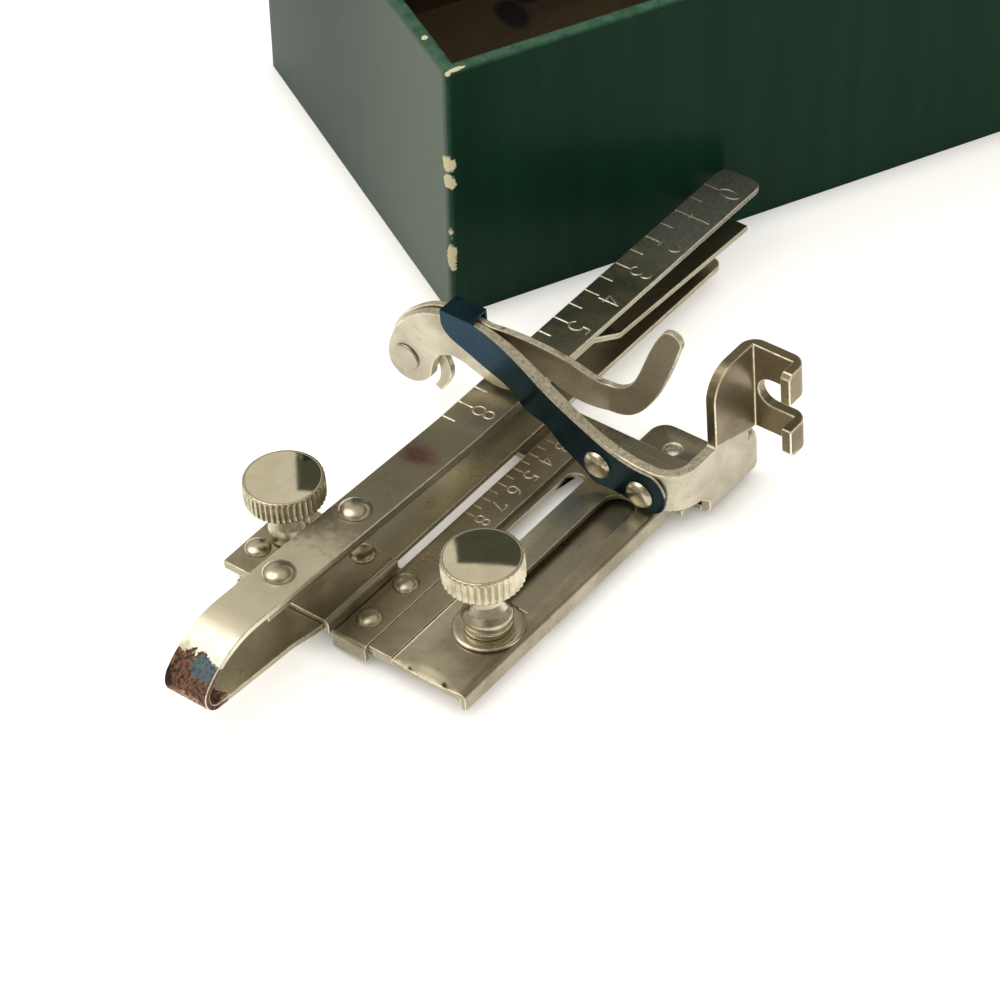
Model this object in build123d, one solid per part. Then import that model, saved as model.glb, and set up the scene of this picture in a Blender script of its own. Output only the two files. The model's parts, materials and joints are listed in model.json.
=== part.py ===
from build123d import *
from math import atan, degrees
import os

os.makedirs("parts", exist_ok=True)

# ---------------------------------------------------------------------------
# Card box: outside sizes over the glazed cover paper. Origin at the middle of
# its underside, +X along the long front side, +Y towards the hinged back.
# ---------------------------------------------------------------------------
BOX_LENGTH, BOX_WIDTH, BOX_HEIGHT = 156.0, 58.0, 40.0
PAPER = 0.25            # glazed cover paper
CARD = 1.5              # grey board
LINING = 0.2            # kraft paper inside
CORNER_R = 1.2          # covered upright corners
RIM_R = 0.8             # paper-wrapped rim
TURN_IN = 7.0           # cover paper turned in over the rim
LID_HEIGHT = 13.0       # lid, skirt and panel together
LID_GAP = 0.3           # shut lid over the rim
LID_OPEN = 105.0        # angle at which the lid stands open
HINGE_OUT = 0.3         # hinge line behind the back face
HINGE_CLOTH = 0.2
HINGE_LAP = 9.0         # cloth glued down on each side of the fold
HINGE_INSET = 4.0       # cloth stops short of the box ends
HINGE_CLEAR = 0.4       # lid's cloth stops short of the fold, which it meets when folded flat
FOLD_R = 0.13           # thread-thick fold on the hinge line

WALL = PAPER + CARD + LINING
HINGE_Y, HINGE_Z = BOX_WIDTH / 2 + HINGE_OUT, BOX_HEIGHT + LID_GAP / 2

# ---------------------------------------------------------------------------
# Tuck marker, in its own frame: x along the space scale towards its 0 end,
# y across it away from the foot, z up; z = 0 is the top of the space scale.
# ---------------------------------------------------------------------------
ASIDE, BEFORE, UP = 10.43, 23.85, 10.28     # past the box's end, before its front, above the table
PLACE = (-BOX_LENGTH / 2 - ASIDE, -BOX_WIDTH / 2 - BEFORE, UP)
YAW, PITCH, ROLL = 25.93, 0.19, -4.0
REACH = BOX_HEIGHT      # cutters: what fits in the box is shorter than it is high

# space gauge
SHEET = 0.8             # gauge strips
SPACE_STEP = 6.35       # 1/4 in between numbers of the space scale
TUCK_STEP = 3.175       # 1/8 in between numbers of the tuck scale
STRIP_W = 6.35          # space scale strip
STRIP_END = SPACE_STEP * 8 + 4.2
STRIP_END_R = 1.5
SPRUNG_X = -4.0         # from here the strip is sprung up towards its loop
SPRUNG = 0.05           # rise per mm
LOOP_TOP_X = -49.7      # corners of the loop, each rounded by its own radius below
LOOP = ((-54.85, -2.4), (-53.8, -5.3), (-39.5, -6.5))
LOOP_RADII = (20.0, 12.5, 2.4, 2.2, 8.0, 8.0)
LEAF_TOP = -6.8         # lower leaf
LEAF_FROM, LEAF_END = -34.9, 46.0
UNDER_BAR_W = 6.0
UNDER_NEAR, JOGGLE, JOGGLE_RUN, UNDER_END = -42.6, 19.4, 5.1, 51.7
JOGGLE_DROP = 2.8       # from the bar's top to the foot of the joggle
UNDER_TIP_DROP = 1.2    # further fall to its free end
BIG_RIVET_X, BIG_RIVET_Y = (-36.7, -22.9), -2.8
BIG_RIVET_R, BIG_RIVET_H = 2.1, 1.0
SMALL_RIVET_R, SMALL_RIVET_H = 1.65, 0.75
SHANK_SHARE = 0.5       # rivet shank radius over head radius
DOME_BANDS = ((0.6, 22.0), (0.4, 52.0))      # a dome's bands: share of its height, lean in degrees
RIVET_FIT = 0.01        # rivet shank in its hole
DOME_SIDES, SHANK_SIDES = 16, 6             # rivets stay light: few flats
BAR_FIT = 0.01          # under bar against the scale strip

# flat plates of the frame
PLATE = 0.7             # scale strip, side plate, saddle
BASE_T = 0.8
TOP_Z = -8.1            # top of the scale strip and side plate
BASE_Z = TOP_Z - PLATE  # top of the base plate
BASE_LOW = BASE_Z - BASE_T
BASE_NEAR, BASE_FAR = -32.9, 14.2
BASE_LEFT = 8.6
SCALE_L, SCALE_R = -7.0, -12.0      # scale strip across y
SCALE_FAR = 11.8
WRAP_DOWN = 2.3         # scale strip folded down over the base's near edge
LEDGE_R = -12.9         # base plate seen past the scale strip
WINDOW_NEAR = -20.0
TAB_X0, TAB_X1, TAB_L = 4.0, 12.0, -3.8
SLOT_END = 5.2          # far end of the tongue slot
FOOT_X = 5.4            # base widens here to carry the foot
FOOT_R = -28.4
SIDE_L, SIDE_R = -15.7, -26.0       # side plate across y
SIDE_NEAR, SIDE_FAR = -33.2, 12.0
SIDE_TAIL_R = -24.9
FLANGE_DOWN = 2.4
FLANGE_FAR = 6.6
SCREW_SLOT_L, SCREW_SLOT_R, SCREW_SLOT_END = -19.7, -24.2, 4.6
CRESCENT = 1.9          # depth of the bevelled crescent along x
CRESCENT_SINK = 0.45
FLOOR_NEAR, FLOOR_L, FLOOR_R = -17.0, -17.0, -25.0
FLOOR_T = 0.9
SOLE_T = 0.8
SOLE_Z = BASE_LOW - FLOOR_T         # top of the sole

# leaf channel and saddle
LEAF_GAP = 0.15
SADDLE_NEAR, SADDLE_FAR = -34.2, -21.2
SADDLE_LEFT = 8.9
SADDLE_LOW, SADDLE_UP = -6.0, -4.6  # tops of its two levels
SADDLE_STEP_R, SADDLE_STEP_L = -1.0, 0.6
SADDLE_LIP = 1.9
SADDLE_FOLD = 1.2
BLOCK_NEAR, BLOCK_FAR = -33.0, -21.0
BLOCK_R, BLOCK_L = 1.2, 7.9
SADDLE_RIVETS = ((-30.2, 6.9), (-22.9, -3.2))
STRIP_RIVETS = ((-29.3, -9.3), (-22.4, -9.2))
FOOT_RIVETS = ((8.6, -18.6), (8.6, -22.9))

# tuck guide
GUIDE_GAP = 0.1         # guide beside, above and below the fixed plates
GUIDE_NEAR, GUIDE_FAR = -33.0, -18.0
TONGUE_END = -8.9       # reads 8 on the tuck scale
WASHER_R, WASHER_T = 4.35, 0.45

# thumb screws
GUIDE_SCREW = (-22.6, -21.9)
LEAF_SCREW = (-26.2, 5.1)
GUIDE_SCREW_TOP, LEAF_SCREW_TOP = 3.5, 4.7
HEAD_R, HEAD_EDGE = 4.95, 0.35
GUIDE_HEAD_H, LEAF_HEAD_H = 3.5, 3.2
STEM_R, COLLAR_R, COLLAR_H = 1.85, 2.9, 0.9
LEAF_STEM_R = 2.4
THREAD_R, THREAD_GAP, SEAT_GAP = 1.25, 0.05, 0.05

# foot, shank and arm: one bent sheet
FOOT_T = 1.4
ARM_X = 4.0             # outer face of the arm
WALL_Y = -30.0          # outer face of the foot wall
BEND_R = 4.0
ARM_TOP, ARM_LOW = -1.75, -7.4
WALL_NEAR, WALL_END = 10.3, 20.95
WALL_STEP = 1.8         # the wall's near edge starts this far below the arm
WALL_R, WALL_TOP_R, WALL_RELIEF = 1.6, 2.3, 0.3     # its far corners; relief under the shank
SHANK_NEAR, SHANK_R = 12.0, 4.0
SHANK_X, SHANK_TOP, SHANK_LOW = 19.95, 9.0, -3.9
SHANK_OUT = -37.1       # open end of the shank's jaws
SHANK_BEND_R, JAW_BEND_R = 2.2, 2.0
SLOT_Z, SLOT_H, SLOT_ROOT = 2.35, 4.1, -30.6
JAW_HOOK, JAW_EASE = 2.6, 0.6
SOLE_NEAR, SOLE_FAR, SOLE_L = 7.0, 20.2, -15.2
SOLE_R = 2.2
SOLE_CUT = -24.7        # its near corner is cut away to here
NEEDLE_HOLE = (16.6, -19.7)
NEEDLE_HOLE_R, NEEDLE_SINK_R, NEEDLE_SINK = 0.8, 1.2, 0.3

# head and arm edges, (y, z) on the arm's plane
ARM_UPPER = ((5.7, 8.15), (2.5, 8.6), (-1.0, 8.5), (-4.0, 7.7), (-7.9, 5.7), (-11.8, 3.1),
             (-16.4, 0.4), (-25.0, ARM_TOP))
ARM_UNDER = ((-22.0, -7.3), (-19.5, -6.7), (-12.5, -2.2), (-8.0, 0.4), (-5.2, 1.3))
HEAD_UNDER = ((-5.2, 1.3), (-2.7, 0.8), (0.0, 1.4), (3.4, 2.35), (5.6, 1.7), (7.2, -0.5), (7.7, -2.5))
HEAD_ROUND = ((7.7, -2.5), (9.6, -4.5), (12.2, -4.95), (14.2, -3.5), (14.3, -0.6), (13.3, 2.1),
              (11.2, 5.0), (8.5, 7.1), (5.7, 8.15))
HEAD_FAR = 16.0         # past the round of the head and of the lever

# head pin, marking lever, creasing beak
PIN_Y, PIN_Z = 11.4, -1.2
PIN_R, PIN_HEAD_R, PIN_HEAD_T, PIN_GAP = 1.2, 1.9, 0.35, 0.05
LEVER_T, LEVER_GAP = 0.9, 0.15
LEVER_X = ARM_X + FOOT_T + LEVER_GAP
LEVER_OUT = 4.4         # set of the hooked end across x
LEVER_CREASE_Y, LEVER_BEND_Y = -15.5, -1.5
LEVER_UPPER = ((14.6, 0.7), (12.9, 3.8), (10.3, 6.2), (7.3, 8.0), (2.5, 8.6), (-2.5, 8.2), (-6.5, 7.1),
               (-11.6, 4.7), (-15.4, 2.8), (-18.0, 3.6), (-20.5, 7.3), (-23.6, 14.1), (-24.9, 15.4),
               (-26.3, 15.2), (-26.8, 13.7))
LEVER_UNDER = ((-26.8, 13.7), (-25.4, 10.0), (-21.3, 2.0), (-18.6, -0.6), (-10.8, -0.2), (-7.3, 2.6),
               (-5.7, 3.9), (2.0, 4.0), (6.0, 2.2), (7.8, -0.6))
LEVER_EYE = ((7.8, -0.6), (8.5, -2.9), (11.6, -4.6), (14.4, -3.0), (15.1, -1.0), (14.6, 0.7))
BEAK_OUTER = ((7.0, 1.2), (6.1, -0.5), (5.7, -2.2), (6.2, -3.9), (7.6, -6.1))
BEAK_INNER = ((8.7, -5.6), (7.5, -3.0), (8.4, 0.3))

# blue clip spring on the arm's outer face
SPRING_T, SPRING_GAP = 0.4, 0.1
CLIP_Z, CLIP_Y0, CLIP_Y1, CLIP_LEG = 9.2, 0.2, 4.9, 3.6
SPRING_UPPER = ((CLIP_Y0, CLIP_Z + SPRING_T), (-8.0, 5.7), (-10.5, 3.9), (-16.3, 0.65),
                (-19.1, -0.7), (-26.0, -2.0))
SPRING_END = ((-26.0, -2.0), (-27.6, -2.9), (-27.9, -6.6), (-26.5, -7.7))
SPRING_UNDER = ((-26.5, -7.7), (-22.9, -7.3), (-20.0, -7.05), (-17.8, -7.1), (-16.0, -5.7),
                (-12.5, -3.3), (-10.5, -1.4), (-7.8, -0.5), (-5.8, 1.35), (-1.2, 3.6),
                (1.4, 4.8), (4.0, 6.1), (CLIP_Y1, 7.6))
SPRING_RIVETS = ((-18.25, -4.0), (-24.5, -5.65))
SPRING_RIVET_R, SPRING_RIVET_H = 1.9, 0.9


def save(shape, name):
    solids = shape.solids()
    out = solids[0] if len(solids) == 1 else Compound(children=solids, label=name)
    export_step(out, f"parts/{name}.step")


def placed(shape, name):
    save(Pos(*PLACE) * Rot(0, 0, YAW) * Rot(0, PITCH, 0) * Rot(ROLL, 0, 0) * shape, name)


def block(x0, x1, y0, y1, z0, z1):
    low = (min(x0, x1), min(y0, y1), min(z0, z1))
    size = (abs(x1 - x0), abs(y1 - y0), abs(z1 - z0))
    return Pos(*low) * Box(*size, align=(Align.MIN, Align.MIN, Align.MIN))


def post(x, y, z0, z1, r):
    return Pos(x, y, min(z0, z1)) * Cylinder(r, abs(z1 - z0), align=(Align.CENTER, Align.CENTER, Align.MIN))


def through(x, y, r):
    return post(x, y, -REACH / 2, REACH / 2, r)


def turned(x, y, profile):
    """Solid turned about an upright axis from (radius, height) points."""
    ring = [(0, profile[0][1])] + list(profile) + [(0, profile[-1][1])]
    return Pos(x, y, 0) * revolve(Plane.XZ * make_face(Polyline(*ring, close=True)), Axis.Z)


def bent(line, thickness, side, plane, width):
    """Strip bent along a line drawn on a plane."""
    face = make_face(offset(line, amount=thickness, side=side, closed=True).edges())
    return extrude(plane * face, width)


def outline(*runs):
    """Closed face from smooth runs of points, joined end to end by straight edges."""
    edges = []
    for run, following in zip(runs, runs[1:] + runs[:1]):
        edges.append(Spline(*run) if len(run) > 2 else Line(*run))
        if run[-1] != following[0]:
            edges.append(Line(run[-1], following[0]))
    return make_face(edges)


def across_x(face, x0, x1):
    """Face drawn in (y, z), given thickness along x."""
    return Pos(x0, 0, 0) * extrude(Plane.YZ * face, x1 - x0)


def shank(r, z0, z1):
    """Shank for a rivet whose head has radius r."""
    return Pos(0, 0, z0) * extrude(RegularPolygon(r * SHANK_SHARE, SHANK_SIDES), z1 - z0)


def rivet(r, h, grip):
    """Low domed rivet standing on the origin; its shank fills the plates down to the grip."""
    (low, lean), (high, flat) = DOME_BANDS
    head = extrude(RegularPolygon(r, DOME_SIDES), h * low, taper=lean)
    head += extrude(head.faces().sort_by(Axis.Z)[-1], h * high, taper=flat)
    return head + shank(r - RIVET_FIT / SHANK_SHARE, -grip, 0)


def rivet_hole(x, y, r):
    return Pos(x, y, 0) * shank(r, -REACH / 2, REACH / 2)


# ---------------------------------------------------------------------------
# box
# ---------------------------------------------------------------------------
def ring(inset, wall, z0, z1, corner_r, ease=None):
    """Rectangular wall ring; ease rounds or chamfers its upper rim."""
    outer = RectangleRounded(BOX_LENGTH - 2 * inset, BOX_WIDTH - 2 * inset, corner_r)
    inner = Rectangle(BOX_LENGTH - 2 * (inset + wall), BOX_WIDTH - 2 * (inset + wall))
    solid = Pos(0, 0, z0) * extrude(outer - inner, z1 - z0)
    return ease(solid.faces().sort_by(Axis.Z)[-1].edges()) if ease else solid


def rounded(edges):
    """Paper folded over the board's edge."""
    return fillet(edges, RIM_R)


def rubbed(edges):
    """The board's own edge, rubbed down under the paper."""
    return chamfer(edges, RIM_R - PAPER)


def centred(x, y, z0, z1):
    return block(-x, x, -y, y, z0, z1)


def box_card_ring():
    return ring(PAPER, CARD, PAPER, BOX_HEIGHT - PAPER, CORNER_R - PAPER, rubbed)


def box_boards():
    walls = box_card_ring()
    x, y = BOX_LENGTH / 2 - PAPER - CARD, BOX_WIDTH / 2 - PAPER - CARD
    save(centred(x, y, PAPER, PAPER + CARD), "box_bottom_board")
    save(walls & block(-BOX_LENGTH, BOX_LENGTH, -BOX_WIDTH, -y, 0, BOX_HEIGHT), "box_front_board")
    save(walls & block(-BOX_LENGTH, BOX_LENGTH, y, BOX_WIDTH, 0, BOX_HEIGHT), "box_back_board")
    save(walls & block(-BOX_LENGTH, BOX_LENGTH, -y, y, 0, BOX_HEIGHT), "box_end_boards")


def box_cover():
    shell = ring(0, WALL, 0, BOX_HEIGHT, CORNER_R, rounded)
    shell += centred(BOX_LENGTH / 2 - WALL, BOX_WIDTH / 2 - WALL, 0, PAPER)
    below = ring(PAPER, CARD + LINING, PAPER, BOX_HEIGHT - TURN_IN, CORNER_R - PAPER)
    save(shell - box_card_ring() - below, "box_cover_paper")


def box_lining():
    x, y = BOX_LENGTH / 2 - PAPER - CARD, BOX_WIDTH / 2 - PAPER - CARD
    low, high = PAPER + CARD, BOX_HEIGHT - TURN_IN
    tray = centred(x, y, low, high) - centred(x - LINING, y - LINING, low + LINING, high)
    save(tray, "box_lining")


def opened(shape):
    """Turns a lid piece from shut to where the lid stands open."""
    return Pos(0, HINGE_Y, HINGE_Z) * Rot(-LID_OPEN, 0, 0) * Pos(0, -HINGE_Y, -HINGE_Z) * shape


def lid():
    low = BOX_HEIGHT + LID_GAP
    top = low + LID_HEIGHT
    under = top - PAPER - CARD
    shell = ring(0, WALL, low, under, CORNER_R)
    shell += Pos(0, 0, under) * extrude(RectangleRounded(BOX_LENGTH, BOX_WIDTH, CORNER_R), PAPER + CARD)
    shell = rounded(shell.faces().sort_by(Axis.Z)[-1].edges())
    x, y = BOX_LENGTH / 2 - PAPER, BOX_WIDTH / 2 - PAPER
    panel = fillet(centred(x, y, under, top - PAPER).edges().filter_by(Axis.Z), CORNER_R - PAPER)
    panel = rubbed(panel.faces().sort_by(Axis.Z)[-1].edges())
    skirt = ring(PAPER, CARD, low + PAPER, under, CORNER_R - PAPER)
    lining = centred(x - CARD, y - CARD, low + PAPER, under)
    inside = centred(x - CARD - LINING, y - CARD - LINING, low, under - LINING)
    save(opened(panel), "lid_panel_board")
    save(opened(skirt), "lid_skirt_board")
    save(opened(shell - panel - skirt - lining), "lid_cover_paper")
    save(opened(lining - inside), "lid_lining")


def hinge():
    back, half = BOX_WIDTH / 2, BOX_LENGTH / 2 - HINGE_INSET
    under_rim = BOX_HEIGHT - RIM_R
    leaf = block(-half, half, back, back + HINGE_CLOTH, BOX_HEIGHT - HINGE_LAP, under_rim)
    leaf += block(-half, half, back + HINGE_CLOTH - FOLD_R, HINGE_Y + FOLD_R,
                  under_rim - HINGE_CLOTH, under_rim)
    leaf += block(-half, half, HINGE_Y - FOLD_R, HINGE_Y + FOLD_R, under_rim - HINGE_CLOTH, HINGE_Z)
    leaf += Pos(0, HINGE_Y, HINGE_Z) * Rot(0, 90, 0) * Cylinder(FOLD_R, 2 * half)
    save(leaf, "hinge_cloth_box")
    low = BOX_HEIGHT + LID_GAP
    lap = block(-half, half, back, back + HINGE_CLOTH, low + RIM_R + HINGE_CLEAR, low + HINGE_LAP)
    save(opened(lap), "hinge_cloth_lid")


# ---------------------------------------------------------------------------
# space gauge
# ---------------------------------------------------------------------------
def rise(x):
    """Top of the scale strip, which is sprung up towards the loop."""
    return max(0.0, SPRUNG * (SPRUNG_X - x))


def on_strip(x, shape):
    return Pos(x, BIG_RIVET_Y, rise(x)) * Rot(0, degrees(atan(SPRUNG)), 0) * shape


def rivet_holes():
    return [on_strip(x, shank(BIG_RIVET_R, -3 * SHEET, SHEET)) for x in BIG_RIVET_X]


def space_strip():
    """Scale strip, the sprung loop at its near end and the lower leaf: one strip."""
    leaf_low = LEAF_TOP - SHEET
    line = FilletPolyline((STRIP_END, 0), (SPRUNG_X, 0), (LOOP_TOP_X, rise(LOOP_TOP_X)), *LOOP,
                          (LEAF_FROM, leaf_low), (LEAF_END, leaf_low), radius=LOOP_RADII)
    strip = bent(line, SHEET, Side.LEFT, Plane.XZ, STRIP_W)
    corners = strip.edges().filter_by(Axis.Z).group_by(Axis.X)
    strip = fillet(corners[-1], STRIP_END_R)
    strip = fillet(strip.edges().filter_by(Axis.Z).filter_by(
        lambda e: abs(e.center().X - LEAF_END) < SHEET), STRIP_END_R)
    for hole in rivet_holes():
        strip -= hole
    placed(strip, "space_scale_strip")


def under_bar():
    top = -SHEET - BAR_FIT
    foot = top - JOGGLE_DROP
    line = FilletPolyline((UNDER_END, foot - UNDER_TIP_DROP), (JOGGLE + JOGGLE_RUN, foot),
                          (JOGGLE, top), (SPRUNG_X, top), (UNDER_NEAR, rise(UNDER_NEAR) + top),
                          radius=SHEET + 0.4)
    bar = bent(line, SHEET, Side.LEFT, Plane.XZ, UNDER_BAR_W)
    bar = Pos(0, (UNDER_BAR_W - STRIP_W) / 2, 0) * bar
    for hole in rivet_holes():
        bar -= hole
    placed(bar, "space_under_bar")


def space_rivets():
    heads = [on_strip(x, rivet(BIG_RIVET_R, BIG_RIVET_H, 2 * SHEET + BAR_FIT)) for x in BIG_RIVET_X]
    placed(heads[0] + heads[1], "space_rivets")


# ---------------------------------------------------------------------------
# frame
# ---------------------------------------------------------------------------
def base_plate():
    near = block(BASE_NEAR, WINDOW_NEAR, LEDGE_R, BASE_LEFT, BASE_LOW, BASE_Z)
    middle = block(WINDOW_NEAR, BASE_FAR, LEDGE_R, SCALE_L, BASE_LOW, BASE_Z)
    tab = block(TAB_X0, TAB_X1, SCALE_L, TAB_L, BASE_LOW, BASE_Z)
    slot_r = (LEDGE_R - SIDE_L) / 2
    foot = block(FOOT_X, BASE_FAR, FOOT_R, LEDGE_R, BASE_LOW, BASE_Z)
    foot -= block(FOOT_X, FLANGE_FAR + GUIDE_GAP, FOOT_R, SIDE_R + GUIDE_GAP, BASE_LOW, BASE_Z)
    foot += block(SLOT_END - slot_r, FOOT_X, SIDE_L, LEDGE_R, BASE_LOW, BASE_Z)
    foot -= through(SLOT_END - slot_r, SIDE_L + slot_r, slot_r)
    plate = near + middle + tab + foot
    for x, y in STRIP_RIVETS + SADDLE_RIVETS[:1] + FOOT_RIVETS:
        plate -= rivet_hole(x, y, SMALL_RIVET_R)
    placed(plate, "frame_base_plate")


def scale_strip():
    near = BASE_NEAR - PLATE
    strip = block(near, SCALE_FAR, SCALE_R, SCALE_L, BASE_Z, TOP_Z)
    strip += block(near, BASE_NEAR, SCALE_R, SCALE_L, TOP_Z - WRAP_DOWN, TOP_Z)
    fold = strip.edges().filter_by(Axis.Y).group_by(Axis.X)[0].sort_by(Axis.Z)[-1]
    strip = fillet(fold, PLATE * 0.8)
    for x, y in STRIP_RIVETS:
        strip -= rivet_hole(x, y, SMALL_RIVET_R)
    placed(strip, "tuck_scale_strip")


def scale_strip_rivets():
    heads = [Pos(x, y, TOP_Z) * rivet(SMALL_RIVET_R, SMALL_RIVET_H, PLATE + BASE_T)
             for x, y in STRIP_RIVETS]
    placed(heads[0] + heads[1], "scale_strip_rivets")


def side_plate():
    """Long plate with its folded flange, screw slot and bevelled near edge."""
    plate = block(SIDE_NEAR, FLANGE_FAR, SIDE_R - PLATE, SIDE_L, BASE_Z, TOP_Z)
    plate += block(SIDE_NEAR, FLANGE_FAR, SIDE_R - PLATE, SIDE_R, TOP_Z - FLANGE_DOWN, TOP_Z)
    fold = plate.edges().filter_by(Axis.X).group_by(Axis.Y)[0].sort_by(Axis.Z)[-1]
    plate = fillet(fold, PLATE * 0.8)
    plate += block(FLANGE_FAR - PLATE, SIDE_FAR, SIDE_TAIL_R, SIDE_L, BASE_Z, TOP_Z)
    slot_r = (SCREW_SLOT_L - SCREW_SLOT_R) / 2
    slot_y = SCREW_SLOT_R + slot_r
    near = GUIDE_SCREW[0] - THREAD_R - 1.0
    plate -= block(near, SCREW_SLOT_END - slot_r, SCREW_SLOT_R, SCREW_SLOT_L, BASE_Z, TOP_Z)
    plate -= through(SCREW_SLOT_END - slot_r, slot_y, slot_r)
    width = SIDE_L - SIDE_R
    arc_r = (width * width / 4 + CRESCENT * CRESCENT) / (2 * CRESCENT)
    bevel = Cone(arc_r - CRESCENT, arc_r, CRESCENT_SINK, align=(Align.CENTER, Align.CENTER, Align.MIN))
    plate -= Pos(SIDE_NEAR + CRESCENT - arc_r, (SIDE_L + SIDE_R) / 2, TOP_Z - CRESCENT_SINK) * bevel
    for x, y in FOOT_RIVETS:
        plate -= rivet_hole(x, y, SMALL_RIVET_R)
    placed(plate, "frame_side_plate")


def slot_floor():
    floor = block(FLOOR_NEAR, BASE_FAR, FLOOR_R, FLOOR_L, SOLE_Z, BASE_LOW)
    for x, y in FOOT_RIVETS:
        floor -= rivet_hole(x, y, SMALL_RIVET_R)
    placed(floor, "slot_floor")


def channel():
    """Pad the lower leaf runs on and the block the left screw is threaded into."""
    leaf_low = LEAF_TOP - SHEET
    pad = block(BLOCK_NEAR, BLOCK_FAR, -STRIP_W, LEAF_GAP, BASE_Z, leaf_low - LEAF_GAP)
    placed(pad, "leaf_pad")
    guide = block(BLOCK_NEAR, BLOCK_FAR, BLOCK_R, BLOCK_L, BASE_Z, SADDLE_UP - PLATE)
    guide -= through(*LEAF_SCREW, THREAD_R + THREAD_GAP)
    guide -= rivet_hole(*SADDLE_RIVETS[0], SMALL_RIVET_R)
    placed(guide, "guide_block")


def saddle():
    """Two-level plate over the lower leaf, with its lip and folded near edge."""
    lip_y = -STRIP_W - LEAF_GAP - PLATE
    line = FilletPolyline((lip_y, SADDLE_LOW - SADDLE_LIP), (lip_y, SADDLE_LOW), (SADDLE_STEP_R, SADDLE_LOW),
                          (SADDLE_STEP_L, SADDLE_UP), (SADDLE_LEFT, SADDLE_UP), radius=PLATE + 0.1)
    plate = Pos(SADDLE_NEAR, 0, 0) * bent(line, PLATE, Side.RIGHT, Plane.YZ, SADDLE_FAR - SADDLE_NEAR)
    plate += block(SADDLE_NEAR, SADDLE_NEAR + PLATE, SADDLE_STEP_L + PLATE, SADDLE_LEFT,
                   SADDLE_UP - SADDLE_FOLD, SADDLE_UP)
    plate -= through(*LEAF_SCREW, THREAD_R + 2 * THREAD_GAP)
    for x, y in SADDLE_RIVETS:
        plate -= rivet_hole(x, y, SMALL_RIVET_R)
    placed(plate, "saddle_plate")


def saddle_rivets():
    long = Pos(*SADDLE_RIVETS[0], SADDLE_UP) * rivet(SMALL_RIVET_R, SMALL_RIVET_H, SADDLE_UP - BASE_LOW)
    short = Pos(*SADDLE_RIVETS[1], SADDLE_LOW) * rivet(SMALL_RIVET_R, SMALL_RIVET_H, PLATE)
    placed(long + short, "saddle_rivets")


# ---------------------------------------------------------------------------
# foot, arm and spring
# ---------------------------------------------------------------------------
def arm_face():
    band = ((ARM_UPPER[-1], (WALL_Y - FOOT_T, ARM_TOP)),
            ((WALL_Y - FOOT_T, ARM_TOP), (WALL_Y - FOOT_T, ARM_LOW)),
            ((WALL_Y - FOOT_T, ARM_LOW), ARM_UNDER[0]))
    return outline(ARM_UPPER, *band, ARM_UNDER, HEAD_UNDER, HEAD_ROUND)


def wall_face():
    """Foot wall with the shank's left plate above it, drawn in (x, z)."""
    low, end, bend = SOLE_Z - SOLE_T, SHANK_X + FOOT_T, ARM_X + BEND_R
    under = SHANK_LOW - WALL_RELIEF
    corners = {
        (bend - 1, ARM_TOP): 0, (bend - 1, ARM_LOW): 0, (bend + 0.6, ARM_LOW - 0.3): 0.8,
        (WALL_NEAR, ARM_LOW - WALL_STEP): 0.3, (WALL_NEAR, low): 0, (WALL_END, low): WALL_R,
        (WALL_END, under): WALL_TOP_R, (WALL_END - WALL_TOP_R - 0.2, under): 0,
        (WALL_END - WALL_TOP_R - 0.2, SHANK_LOW): 0, (end, SHANK_LOW): 0, (end, SHANK_TOP): 0,
        (SHANK_NEAR, SHANK_TOP): SHANK_R, (SHANK_NEAR, ARM_TOP): 0.4,
    }
    wall = FilletPolyline(*corners, radius=list(corners.values()), close=True)
    return make_face(wall)


def facing_out(shape, y, z, x):
    """Turns an upright rivet so that its head faces -x."""
    return Pos(x, y, z) * Rot(0, -90, 0) * shape


def spring_holes(sheet):
    for y, z in SPRING_RIVETS:
        sheet -= facing_out(shank(SPRING_RIVET_R, -2 * FOOT_T, FOOT_T), y, z, ARM_X)
    return sheet


def foot_bracket():
    """Arm, foot wall and slotted shank bent from one sheet."""
    low = SOLE_Z - SOLE_T
    plan = FilletPolyline((ARM_X, HEAD_FAR), (ARM_X, WALL_Y), (SHANK_X + FOOT_T, WALL_Y), radius=BEND_R)
    sheet = Pos(0, 0, low) * bent(plan, FOOT_T, Side.LEFT, Plane.XY, SHANK_TOP - low)
    arm = sheet & across_x(arm_face(), ARM_X - 1, WALL_NEAR)
    wall = sheet & (Pos(0, WALL_Y + 2 * FOOT_T, 0) * extrude(Plane.XZ * wall_face(), 3 * FOOT_T))
    foot_edge = wall.edges().filter_by(Axis.X).group_by(Axis.Z)[0].sort_by(Axis.Y)[0]
    wall = fillet(foot_edge, FOOT_T * 0.9)
    bracket = arm + wall + shank_plate()
    outside = (SHANK_X + FOOT_T, WALL_Y + FOOT_T)
    bends = bracket.edges().filter_by(Axis.Z).filter_by(
        lambda e: abs(e.center().X - outside[0]) + abs(e.center().Y - outside[1]) < 0.1)
    bracket = fillet(bends, SHANK_BEND_R)
    bracket -= across_x(Pos(PIN_Y, PIN_Z) * Circle(PIN_R), ARM_X - 1, ARM_X + FOOT_T + 1)
    bracket = spring_holes(bracket)
    placed(bracket, "foot_bracket")


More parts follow.
